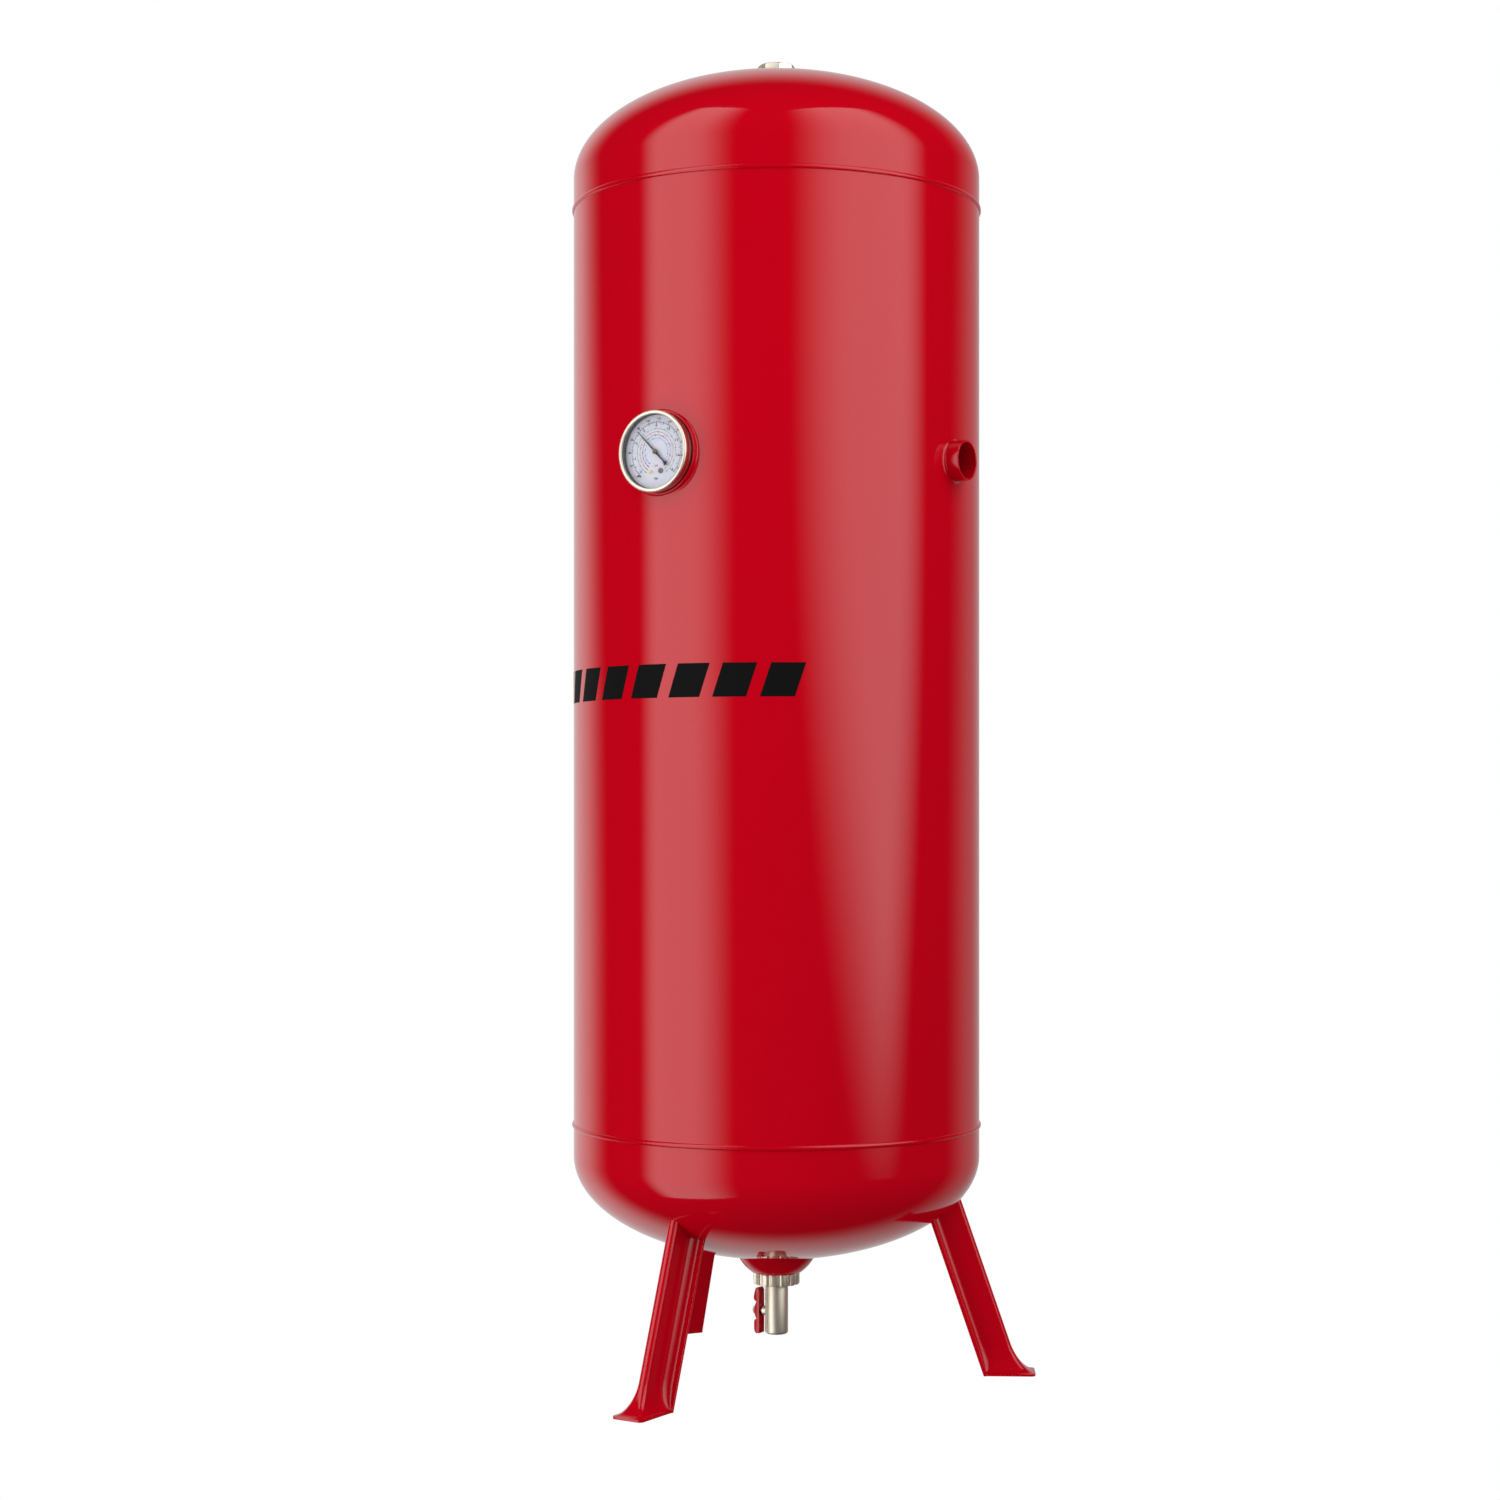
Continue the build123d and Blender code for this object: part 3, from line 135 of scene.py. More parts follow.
# the surround: white to the eye, an even fill on matt surfaces, and in reflections dark but
# for the space behind the tank, which is brighter to the left
world = bpy.data.worlds.new("white_surround")
bpy.context.scene.world = world
world.use_nodes = True
tree = world.node_tree
tree.nodes.clear()
FILL = 0.36
SHADE = 0.012
ray = add_node(tree, "ShaderNodeLightPath")
heading = add_node(tree, "ShaderNodeTexCoord")
behind = add_node(tree, "ShaderNodeVectorMath",
                  {"operation": "DOT_PRODUCT", 1: toward(CAMERA_TURN + math.pi, 1, 0)},
                  {0: (heading, "Generated")})
leftward = add_node(tree, "ShaderNodeVectorMath",
                    {"operation": "DOT_PRODUCT", 1: toward(CAMERA_TURN - math.pi / 2, 1, 0)},
                    {0: (heading, "Generated")})
height = add_node(tree, "ShaderNodeSeparateXYZ", links={0: (heading, "Generated")})
ease = add_node(tree, "ShaderNodeMapRange",
                {"From Min": -0.05, "From Max": 0.25, "To Min": 0.0, "To Max": -0.12},
                {"Value": (height, "Z")})
around = add_node(tree, "ShaderNodeMath", {"operation": "ADD"}, {0: (behind, "Value"), 1: (ease, 0)})
onset = add_node(tree, "ShaderNodeMapRange",
                 {"interpolation_type": "SMOOTHSTEP", "From Min": 0.3, "From Max": 0.7},
                 {"Value": (around, 0)})
level = add_node(tree, "ShaderNodeMapRange",
                 {"From Min": -0.6, "From Max": 0.6, "To Min": 0.3, "To Max": 0.95},
                 {"Value": (leftward, "Value")})
lit = add_node(tree, "ShaderNodeMath", {"operation": "MULTIPLY_ADD", 2: SHADE},
               {0: (onset, 0), 1: (level, 0)})
shiny = add_node(tree, "ShaderNodeBackground", {"Color": (1, 1, 1, 1)}, {"Strength": (lit, 0)})
fill = add_node(tree, "ShaderNodeBackground", {"Color": (1, 1, 1, 1), "Strength": FILL})
white = add_node(tree, "ShaderNodeBackground", {"Color": (1, 1, 1, 1), "Strength": 1.0})
unseen = add_node(tree, "ShaderNodeMixShader",
                  links={0: (ray, "Is Glossy Ray"), 1: (fill, 0), 2: (shiny, 0)})
seen = add_node(tree, "ShaderNodeMixShader",
                links={0: (ray, "Is Camera Ray"), 1: (unseen, 0), 2: (white, 0)})
add_node(tree, "ShaderNodeOutputWorld", links={"Surface": (seen, 0)})

# ---------------------------------------------------------------- red gloss enamel
# Two-pack enamel sprayed over the welded tank and stoved: a deep even red with a hard wet
# gloss and a faint orange-peel ripple a few millimetres across.


def new_material(name):
    """A material with an empty Principled shader; gives the material, its tree and the shader."""
    material = bpy.data.materials.new(name)
    material.use_nodes = True
    return material, material.node_tree, material.node_tree.nodes["Principled BSDF"]


def set_shader(shader, **values):
    for key, value in values.items():
        shader.inputs[key.replace("_", " ")].default_value = value


def enamel(name, colour, deep, ripple):
    """Gloss enamel: colour and its shade in thick paint, and how strong its orange peel is."""
    material, tree, shader = new_material(name)
    set_shader(shader, IOR=1.5)
    spot = add_node(tree, "ShaderNodeTexCoord")
    drift = add_node(tree, "ShaderNodeTexNoise", {"Scale": 2.5, "Detail": 3.0}, {"Vector": (spot, "Object")})
    tint = add_node(tree, "ShaderNodeMix", {"data_type": "RGBA", "clamp_factor": True,
                    6: linear(colour), 7: linear(deep)}, {0: (drift, "Fac")})
    tree.links.new(tint.outputs[2], shader.inputs["Base Color"])
    film = add_node(tree, "ShaderNodeTexNoise", {"Scale": 45.0, "Detail": 4.0}, {"Vector": (spot, "Object")})
    rough = add_node(tree, "ShaderNodeMapRange", {"To Min": 0.05, "To Max": 0.1}, {"Value": (film, "Fac")})
    tree.links.new(rough.outputs[0], shader.inputs["Roughness"])
    peel = add_node(tree, "ShaderNodeTexNoise", {"Scale": 180.0, "Detail": 2.0}, {"Vector": (spot, "Object")})
    bump = add_node(tree, "ShaderNodeBump", {"Strength": ripple, "Distance": 0.00005},
                    {"Height": (peel, "Fac")})
    tree.links.new(bump.outputs[0], shader.inputs["Normal"])
    return material


RED = "#be0017"
DEEP_RED = "#b80015"
red_enamel = enamel("red_gloss_enamel", RED, DEEP_RED, 0.15)

# ---------------------------------------------------------------- shell
# Rolled 4 mm sheet, butt welded along its back, with the holes for the stubs and the gauge
# well cut in before painting. Two pressed ends close it, each a skin of its own.
SHELL_WALL = 4.0
SMOOTH_STEPS = 256
shell_low, shell_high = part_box("shell")
TANK_R = 250.0
SHELL_BOTTOM, SHELL_TOP = shell_low.z / MM, shell_high.z / MM
PORT_Z = (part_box("outlet_socket")[0].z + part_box("outlet_socket")[1].z) / 2 / MM
UPRIGHT = Matrix.Identity(4)
AT_PORTS = Matrix.Translation((0, 0, PORT_Z * MM))
ON_GAUGE = AT_PORTS @ Matrix.Rotation(math.radians(90), 4, "X")
ON_OUTLET = AT_PORTS @ Matrix.Rotation(math.radians(90), 4, "Y")
ON_INLET = AT_PORTS @ Matrix.Rotation(math.radians(-90), 4, "Y")


def only(piece):
    """Makes one piece the whole selection."""
    bpy.ops.object.select_all(action="DESELECT")
    piece.select_set(True)
    bpy.context.view_layer.objects.active = piece


def place(piece, matrix):
    """Moves a finished mesh to its place on the receiver, with its object left at the origin."""
    only(piece)
    piece.matrix_world = matrix
    bpy.ops.object.transform_apply(location=True, rotation=True, scale=True)
    return piece


def turned(name, profile, steps=96, turn=360.0, matrix=UPRIGHT):
    """Draws (radius, height) points in millimetres beside the Z axis and spins them round it."""
    points = [Vector((r * MM, 0, h * MM)) for r, h in profile]
    bpy.ops.object.select_all(action="DESELECT")
    bpy.ops.mesh.primitive_plane_add(size=MM, location=points[0])
    piece = bpy.context.object
    piece.name = piece.data.name = name
    bpy.ops.object.transform_apply(location=True, rotation=False, scale=False)
    bpy.ops.object.mode_set(mode="EDIT")
    bpy.ops.mesh.select_mode(type="VERT")
    bpy.ops.mesh.select_all(action="SELECT")
    bpy.ops.mesh.merge(type="CENTER")
    for start, end in zip(points, points[1:]):
        bpy.ops.mesh.extrude_vertices_move(TRANSFORM_OT_translate={"value": end - start})
    bpy.ops.mesh.select_all(action="SELECT")
    bpy.ops.mesh.spin(steps=steps, angle=math.radians(turn), center=(0, 0, 0), axis=(0, 0, 1))
    bpy.ops.mesh.select_all(action="SELECT")
    bpy.ops.mesh.remove_doubles(threshold=1e-6)
    bpy.ops.mesh.normals_make_consistent(inside=False)
    bpy.ops.object.mode_set(mode="OBJECT")
    return place(piece, matrix)


def apply_modifier(piece, kind, **settings):
    """Adds a modifier with its settings and applies it."""
    only(piece)
    modifier = piece.modifiers.new(kind.lower(), kind)
    for key, value in settings.items():
        setattr(modifier, key, value)
    bpy.ops.object.modifier_apply(modifier=modifier.name)
    return piece


def break_edges(piece, width, segments=3, angle=35):
    """Rounds every sharp edge by a width in millimetres."""
    return apply_modifier(piece, "BEVEL", width=width * MM, segments=segments, limit_method="ANGLE",
                          angle_limit=math.radians(angle), use_clamp_overlap=True)


def cut_away(piece, cutter):
    """Cuts one solid out of another, and throws the cutter away."""
    apply_modifier(piece, "BOOLEAN", operation="DIFFERENCE", solver="EXACT", object=cutter)
    bpy.data.objects.remove(cutter, do_unlink=True)
    return piece


def finish_piece(piece, material, body, nodes=(), smooth=30):
    """Shades a piece, gives it its material, hangs it on its body, and hides the CAD nodes it replaces."""
    only(piece)
    if smooth:
        bpy.ops.object.shade_smooth_by_angle(angle=math.radians(smooth))
    piece.data.materials.clear()
    piece.data.materials.append(material)
    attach(piece, body)
    if nodes:
        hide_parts(*nodes)
    return piece


def point_normals(piece, direction):
    """Sets exact normals on a curved wall, so that a cut in it leaves no dent in the gloss."""
    mesh = piece.data
    normals = []
    for corner in mesh.loops:
        normals.append(direction(mesh.vertices[corner.vertex_index].co))
    mesh.normals_split_custom_set(normals)


def drill(piece, radius, start, end, matrix):
    """Bores a round hole into a piece, between two distances along the matrix's own Z axis."""
    bpy.ops.object.select_all(action="DESELECT")
    bpy.ops.mesh.primitive_cylinder_add(vertices=96, radius=radius * MM, depth=(end - start) * MM,
                                        location=(0, 0, (start + end) / 2 * MM))
    bit = bpy.context.object
    bpy.ops.object.transform_apply(location=True, rotation=True, scale=True)
    place(bit, matrix)
    cut_away(piece, bit)


shell = [(TANK_R, SHELL_BOTTOM), (TANK_R, SHELL_TOP), (TANK_R - SHELL_WALL, SHELL_TOP),
         (TANK_R - SHELL_WALL, SHELL_BOTTOM)]
shell = turned("shell_skin", shell + shell[:1], steps=SMOOTH_STEPS)
STUB_R = 24.15
WELL_R = 49.0
OVERLAP = 1.0               # of the shell over the well's wall, hidden in the weld
DRILL_REACH = 50.0          # either side of the shell's outer face
for matrix, hole in ((ON_OUTLET, STUB_R), (ON_INLET, STUB_R), (ON_GAUGE, WELL_R - OVERLAP)):
    drill(shell, hole, TANK_R - DRILL_REACH, TANK_R + DRILL_REACH, matrix)
finish_piece(shell, red_enamel, "tank", ["shell"])


def shell_normal(spot):
    """Outwards on the outer wall, inwards on the inner one."""
    radial = Vector((spot.x, spot.y, 0)).normalized()
    outer = math.hypot(spot.x, spot.y) > (TANK_R - SHELL_WALL / 2) * MM
    return radial if outer else -radial


point_normals(shell, shell_normal)

# ---------------------------------------------------------------- pressed ends
# Two 2:1 elliptical ends, pressed from 4.5 mm plate with a short straight skirt, each with
# one hole at its crown: the plug's boss above, the drain's bore below.
HEAD_WALL = 4.5
HEAD_DEPTH = 125.0
HEAD_SKIRT = 38.0
BOSS_R = 30.0
DRAIN_BORE = 10.55


def head_profile(hole, weld, up):
    """Outer curve from the hole to the weld, then the inner one back again."""
    rings = 56

    def curve(radius, depth):
        first = math.acos(hole / radius)
        sweep = [first * (1 - i / rings) for i in range(rings + 1)]
        return [(radius * math.cos(a), weld + up * (HEAD_SKIRT + depth * math.sin(a))) for a in sweep]

    outer = curve(TANK_R, HEAD_DEPTH) + [(TANK_R, weld)]
    inner = curve(TANK_R - HEAD_WALL, HEAD_DEPTH - HEAD_WALL) + [(TANK_R - HEAD_WALL, weld)]
    return outer + inner[::-1] + outer[:1]


top_head = turned("top_head_skin", head_profile(BOSS_R, SHELL_TOP, 1), steps=SMOOTH_STEPS)
finish_piece(top_head, red_enamel, "tank", ["top_head"])
bottom_head = turned("bottom_head_skin", head_profile(DRAIN_BORE, SHELL_BOTTOM, -1), steps=SMOOTH_STEPS)
finish_piece(bottom_head, red_enamel, "tank", ["bottom_head"])

# ---------------------------------------------------------------- weld beads
# Automatic welds under the paint: a low crowned bead round each end and one down the back,
# with the fine ripple that the wire leaves as it travels.
BEAD_HALF = 3.0
BEAD_HEIGHT = 2.2
BEAD_SUNK = 0.1             # of each bead's foot into the sheet, so that no gap shows
SEAM_HEIGHT = 1.4
SEAM_SUNK = 0.05
BEAD_STEPS = 700
RIPPLE = 0.08               # of the bead's height
RIPPLE_COUNT = 233          # round the tank
RIPPLE_RATE = 1.6           # radians for each millimetre of the straight seam
RIPPLE_LAG = 0.25           # of a ripple's edges behind its middle
WANDER = ((0.06, 11), (0.05, 37))       # slower waves: share of the bead's height and count


def bead_profile(height):
    """The crown of a bead as (height over the sheet, offset across it), edge to edge."""
    return [(height * math.cos(a), BEAD_HALF * math.sin(a)) for a in
            [math.radians(-90 + 180 * i / 8) for i in range(9)]]


def bent_grid(name, columns, rows, point):
    """A grid whose every vertex goes where point(u, v), both from 0 to 1, puts it in millimetres."""
    bpy.ops.object.select_all(action="DESELECT")
    bpy.ops.mesh.primitive_grid_add(x_subdivisions=columns, y_subdivisions=rows, size=1, location=(0, 0, 0))
    piece = bpy.context.object
    piece.name = piece.data.name = name
    for vertex in piece.data.vertices:
        vertex.co = point(vertex.co.x + 0.5, vertex.co.y + 0.5) * MM
    return piece


weld_enamel = enamel("red_enamel_over_weld", RED, DEEP_RED, 0.6)
for weld_name, level in (("top_girth_weld", SHELL_TOP), ("bottom_girth_weld", SHELL_BOTTOM)):
    crown = [(TANK_R - BEAD_SUNK + lift, level + across) for lift, across in bead_profile(BEAD_HEIGHT)]
    bead = turned(weld_name + "_bead", crown + [crown[0]], steps=BEAD_STEPS)
    for vertex in bead.data.vertices:
        angle = math.atan2(vertex.co.y, vertex.co.x)
        reach = math.hypot(vertex.co.x, vertex.co.y) / MM
        lag = (vertex.co.z / MM - level) ** 2 * RIPPLE_LAG
        wave = RIPPLE * math.sin(angle * RIPPLE_COUNT + lag)
        wave += sum(share * math.sin(angle * count) for share, count in WANDER)
        push = 1 + wave * (reach - TANK_R) / BEAD_HEIGHT / reach
        vertex.co.x *= push
        vertex.co.y *= push
    finish_piece(bead, weld_enamel, "tank", [weld_name], smooth=60)

SEAM_LENGTH = SHELL_TOP - SHELL_BOTTOM - 2 * BEAD_HALF


def seam_point(across, along):
    """A point of the straight bead down the tank's back."""
    swing = math.pi * (across - 0.5)
    side = math.sin(swing) * BEAD_HALF
    level = SHELL_BOTTOM + BEAD_HALF + along * SEAM_LENGTH
    wave = RIPPLE * math.sin(level * RIPPLE_RATE + side ** 2 * RIPPLE_LAG)
    lift = SEAM_HEIGHT * math.cos(swing) * (1 + wave)
    return Vector((-side, math.sqrt(TANK_R ** 2 - side ** 2) - SEAM_SUNK + lift, level))


seam = bent_grid("long_seam_bead", 9, 900, seam_point)
finish_piece(seam, weld_enamel, "tank", ["long_seam_weld"], smooth=60)

# ---------------------------------------------------------------- legs
# Three legs pressed from 3 mm strip into a deep hat section, its round crown outside, with a
# flat strip welded across the brims. The lower end is belled out into a foot, and the top is
# cut to the end's curve and welded.
LEG_HALF = 6.3
LEG_DEPTH = 46.0
LEG_SHEET = 3.0
LEG_SLOPE = math.tan(math.radians(19.0))
LEG_INNER = 255.0
LEG_CORNER = 6.0
BRIM_HALF = 21.6
BRIM_BEND = 11.0
FOOT_HALF = 21.1
FOOT_REACH = 18.5
FOOT_BEND = 0.3
FOOT_FLARE = 38.0
FLOOR_GAP = 0.02
BACK_HALF = 21.2
BACK_PROUD = 0.2
LEG_EDGE = 0.6
FOOT_SHARE = 0.4            # of the rows, crowded into the foot's bell
BEND_FROM, SIDE_FROM, CORNER_FROM, CROWN_FROM = 0.12, 0.32, 0.7, 0.97   # of the columns, per half
END_LEVEL = SHELL_BOTTOM - HEAD_SKIRT


def between(low, high, share):
    return low + (high - low) * share


def hat_outline(walk, bell):
    """Depth and half width on the way from a brim's edge to the crown, opened out by the bell."""
    half, bend = between(LEG_HALF, FOOT_HALF, bell), between(BRIM_BEND, FOOT_BEND, bell)
    depth = LEG_DEPTH + FOOT_REACH * bell
    if walk < BEND_FROM:
        return LEG_SHEET, between(BRIM_HALF, half + bend, walk / BEND_FROM)
    if walk < SIDE_FROM:
        a = (walk - BEND_FROM) / (SIDE_FROM - BEND_FROM) * math.pi / 2
        return LEG_SHEET + bend * (1 - math.cos(a)), half + bend * (1 - math.sin(a))
    if walk < CORNER_FROM:
        along = (walk - SIDE_FROM) / (CORNER_FROM - SIDE_FROM)
        return between(LEG_SHEET + bend, depth - LEG_CORNER, along), half
    if walk < CROWN_FROM:
        a = (walk - CORNER_FROM) / (CROWN_FROM - CORNER_FROM) * math.pi / 2
        return depth - LEG_CORNER * (1 - math.sin(a)), half - LEG_CORNER * (1 - math.cos(a))
    return depth, (half - LEG_CORNER) * (1 - walk) / (1 - CROWN_FROM)


def leg_point(share, climb):
    """A point of the leg's outer face, standing towards +X."""
    walk = 1 - abs(2 * share - 1)
    swell = min(walk / SIDE_FROM, 1.0)
    rim = LEG_SHEET * swell * swell * (3 - 2 * swell)
    if climb < FOOT_SHARE:
        a = climb / FOOT_SHARE * math.pi / 2
        bell, height = 1 - math.sin(a), between(rim, FOOT_FLARE, 1 - math.cos(a))
    else:
        bell, height = 0.0, between(FOOT_FLARE, END_LEVEL, (climb - FOOT_SHARE) / (1 - FOOT_SHARE))
    depth, across = hat_outline(walk, bell)
    hand = -1 if share < 0.5 else 1
    return Vector((LEG_INNER - height * LEG_SLOPE + depth, across * hand, height))


def back_point(share, climb):
    """A point of the strip across the brims, a hair proud of them towards the tank's axis."""
    height = END_LEVEL * climb
    return Vector((LEG_INNER - height * LEG_SLOPE - BACK_PROUD, 2 * BACK_HALF * (share - 0.5), height))


for leg_name, angle in (("front_leg", -90), ("right_leg", 30), ("left_leg", 150)):
    for suffix, columns, rows, point, side, nodes in (
            ("_pressing", 100, 80, leg_point, -1.0, [leg_name]),
            ("_back_strip", 8, 40, back_point, 1.0, [])):
        leg = bent_grid(leg_name + suffix, columns, rows, point)
        apply_modifier(leg, "SOLIDIFY", thickness=LEG_SHEET * MM, offset=side)
        for corner in leg.data.vertices:
            corner.co.z = max(corner.co.z, FLOOR_GAP * MM)
        break_edges(leg, LEG_EDGE, segments=2, angle=50)
        bpy.ops.object.select_all(action="DESELECT")
        bpy.ops.mesh.primitive_uv_sphere_add(segments=192, ring_count=96, radius=1, location=(0, 0, 0))
        domed_end = bpy.context.object
        domed_end.scale = (TANK_R * MM, TANK_R * MM, HEAD_DEPTH * MM)
        domed_end.location = (0, 0, END_LEVEL * MM)
        bpy.ops.object.transform_apply(location=True, rotation=True, scale=True)
        cut_away(leg, domed_end)
        place(leg, Matrix.Rotation(math.radians(angle), 4, "Z"))
        finish_piece(leg, red_enamel, "tank", nodes, smooth=40)

# ---------------------------------------------------------------- side stubs
# Two lengths of 1 1/2 inch steel tube let into the shell and fillet welded round the outside,
# painted with the tank, their mouths left open.
STUB_BORE = 21.55
STUB_MOUTH = 267.5
STUB_INNER = 240.0
STUB_EDGE = 0.7
FILLET = 3.5


def rounded(points, radius, steps=4):
    """A closed profile with each corner cut to an arc of the radius."""
    loop = [Vector((r, h)) for r, h in points]
    out = []
    for i, corner in enumerate(loop):
        before = (loop[i - 1] - corner).normalized()
        after = (loop[(i + 1) % len(loop)] - corner).normalized()
        start, end = corner + before * radius, corner + after * radius
        for step in range(steps + 1):
            t = step / steps
            spot = start * (1 - t) ** 2 + corner * 2 * t * (1 - t) + end * t ** 2
            out.append((spot.x, spot.y))
    return out + out[:1]


def fillet_ring(name, out, radius, size):
    """A concave fillet round a tube that stands out of the shell, following the shell's curve."""
    side = Vector((0, 0, 1)).cross(out)

    def point(u, v):
        turn, a = u * 2 * math.pi, v * math.pi / 2
        reach = radius + size * (1 - math.cos(a))
        height = math.sqrt(TANK_R ** 2 - (reach * math.cos(turn)) ** 2) + size * (1 - math.sin(a))
        across = side * (reach * math.cos(turn)) + Vector((0, 0, reach * math.sin(turn) + PORT_Z))
        return out * height + across

    ring = bent_grid(name, 96, 10, point)
    only(ring)
    bpy.ops.object.mode_set(mode="EDIT")
    bpy.ops.mesh.select_all(action="SELECT")
    bpy.ops.mesh.remove_doubles(threshold=1e-6)
    bpy.ops.object.mode_set(mode="OBJECT")
    return ring


stub_section = rounded([(STUB_BORE, STUB_INNER), (STUB_R, STUB_INNER), (STUB_R, STUB_MOUTH),
                        (STUB_BORE, STUB_MOUTH)], STUB_EDGE)
for name, matrix, out in (("outlet", ON_OUTLET, Vector((1, 0, 0))), ("inlet", ON_INLET, Vector((-1, 0, 0)))):
    stub = turned(name + "_stub", stub_section, steps=128, matrix=matrix)
    finish_piece(stub, red_enamel, "tank", [name + "_socket"])
    fillet = fillet_ring(name + "_fillet", out, STUB_R, FILLET)
    finish_piece(fillet, weld_enamel, "tank", [name + "_weld"], smooth=60)

# ---------------------------------------------------------------- plain black bars
# A row of slanted bars cut from black vinyl and stuck round the front of the shell: plain
# decoration in place of any name.
BAR_LEVEL = 843.0
BAR_HEIGHT = 39.0
BAR_SLANT = 13.0
BAR_FILM = 0.15
BAR_COUNT = 8
BAR_WIDTH = 40.0
BAR_GAP = 16.0
BARS_END = math.radians(40.3) * TANK_R


def matt(name, colour, deep, low, high, grain):
    """A matt solid colour: even pigment with a slight mottle, and fine grain in its gloss."""
    material, tree, shader = new_material(name)
    set_shader(shader, IOR=1.45)
    spot = add_node(tree, "ShaderNodeTexCoord")
    mottle = add_node(tree, "ShaderNodeTexNoise", {"Scale": grain / 20, "Detail": 3.0},
                      {"Vector": (spot, "Object")})
    tint = add_node(tree, "ShaderNodeMix", {"data_type": "RGBA", 6: linear(colour), 7: linear(deep)},
                    {0: (mottle, "Fac")})
    tree.links.new(tint.outputs[2], shader.inputs["Base Color"])
    fine = add_node(tree, "ShaderNodeTexNoise", {"Scale": grain, "Detail": 2.0}, {"Vector": (spot, "Object")})
    rough = add_node(tree, "ShaderNodeMapRange", {"To Min": low, "To Max": high}, {"Value": (fine, "Fac")})
    tree.links.new(rough.outputs[0], shader.inputs["Roughness"])
    bump = add_node(tree, "ShaderNodeBump", {"Strength": 0.15, "Distance": 0.00003},
                    {"Height": (fine, "Fac")})
    tree.links.new(bump.outputs[0], shader.inputs["Normal"])
    return material


# a light-trapping film, so it takes less of a highlight than the other matt colours
black = matt("matt_black", "#020202", "#040404", 0.7, 0.8, 900.0)
set_shader(black.node_tree.nodes["Principled BSDF"], Specular_IOR_Level=0.2)


def join_all(name, pieces):
    """Joins meshes, each keeping its own material, into one piece."""
    bpy.ops.object.select_all(action="DESELECT")
    for piece in pieces:
        piece.select_set(True)
    bpy.context.view_layer.objects.active = pieces[0]
    bpy.ops.object.join()
    joined = bpy.context.object
    joined.name = joined.data.name = name
    return joined


def bar_point(u, v, right):
    """A point of a slanted bar, given how far round the shell its upper right corner is."""
    angle = (right + BAR_WIDTH * (u - 1) + BAR_SLANT * (v - 1)) / TANK_R
    return toward(angle, TANK_R + BAR_FILM, BAR_LEVEL + BAR_HEIGHT * (v - 0.5))


bars = []
for number in range(BAR_COUNT):
    bar_right = BARS_END - number * (BAR_WIDTH + BAR_GAP)
    bars.append(bent_grid(f"bar_{number}", 12, 2, lambda u, v: bar_point(u, v, bar_right)))
bars = join_all("black_vinyl_bars", bars)
finish_piece(bars, black, "tank", smooth=60)

# ---------------------------------------------------------------- top plug
# An eight-sided forged plug, nickel plated, screwed down on a copper washer into the boss
# at the crown of the upper end.
PLUG_FLATS = 43.0
PLUG_HEIGHT = 13.0
PLUG_TURN = -4.0
PLUG_CORNER_R = 23.9        # across the corners, where the top's chamfer starts
PLUG_TOP_R = 21.0
PLUG_CHAMFER = 2.2
PLUG_SHAPE_DEPTH = 30.0
PLUG_EDGE = 0.5
BOSS_BORE = 16.6
BOSS_EDGE = 1.0


def metal(name, colour, deep, low, high, grain, bump_strength=0.1):
    """Bare or plated metal: its colour with faint tarnish, and polish that varies with handling."""
    material, tree, shader = new_material(name)
    set_shader(shader, Metallic=1.0)
    spot = add_node(tree, "ShaderNodeTexCoord")
    stain = add_node(tree, "ShaderNodeTexNoise", {"Scale": grain / 12, "Detail": 4.0},
                     {"Vector": (spot, "Object")})
    tint = add_node(tree, "ShaderNodeMix", {"data_type": "RGBA", 6: linear(colour), 7: linear(deep)},
                    {0: (stain, "Fac")})
    tree.links.new(tint.outputs[2], shader.inputs["Base Color"])
    fine = add_node(tree, "ShaderNodeTexNoise", {"Scale": grain, "Detail": 3.0}, {"Vector": (spot, "Object")})
    rough = add_node(tree, "ShaderNodeMapRange", {"To Min": low, "To Max": high}, {"Value": (fine, "Fac")})
    tree.links.new(rough.outputs[0], shader.inputs["Roughness"])
    bump = add_node(tree, "ShaderNodeBump", {"Strength": bump_strength, "Distance": 0.00002},
                    {"Height": (fine, "Fac")})
    tree.links.new(bump.outputs[0], shader.inputs["Normal"])
    return material


nickel = metal("satin_nickel_plate", "#fff8e8", "#f6ecd8", 0.44, 0.54, 700.0)
copper = metal("annealed_copper", "#c98a66", "#b3714e", 0.3, 0.45, 500.0)


def paint_node(name, material):
    """Gives a CAD piece that stays as it is its real material."""
    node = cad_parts[name]
    node.data.materials.clear()
    node.data.materials.append(material)


plug_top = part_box("top_plug")[1].z / MM
bpy.ops.object.select_all(action="DESELECT")
bpy.ops.mesh.primitive_cylinder_add(vertices=8, radius=PLUG_FLATS / 2 / math.cos(math.pi / 8) * MM,
                                    depth=PLUG_HEIGHT * MM, rotation=(0, 0, math.radians(PLUG_TURN)),
                                    location=(0, 0, (plug_top - PLUG_HEIGHT / 2) * MM))
plug = bpy.context.object
plug.name = plug.data.name = "octagon_plug"
only(plug)
bpy.ops.object.transform_apply(location=True, rotation=True, scale=True)
plug_foot = plug_top - PLUG_SHAPE_DEPTH
dome = turned("plug_chamfer", [(0, plug_foot), (PLUG_CORNER_R, plug_foot),
                               (PLUG_CORNER_R, plug_top - PLUG_CHAMFER), (PLUG_TOP_R, plug_top),
                               (0, plug_top)], steps=96)
apply_modifier(plug, "BOOLEAN", operation="INTERSECT", solver="EXACT", object=dome)
bpy.data.objects.remove(dome, do_unlink=True)
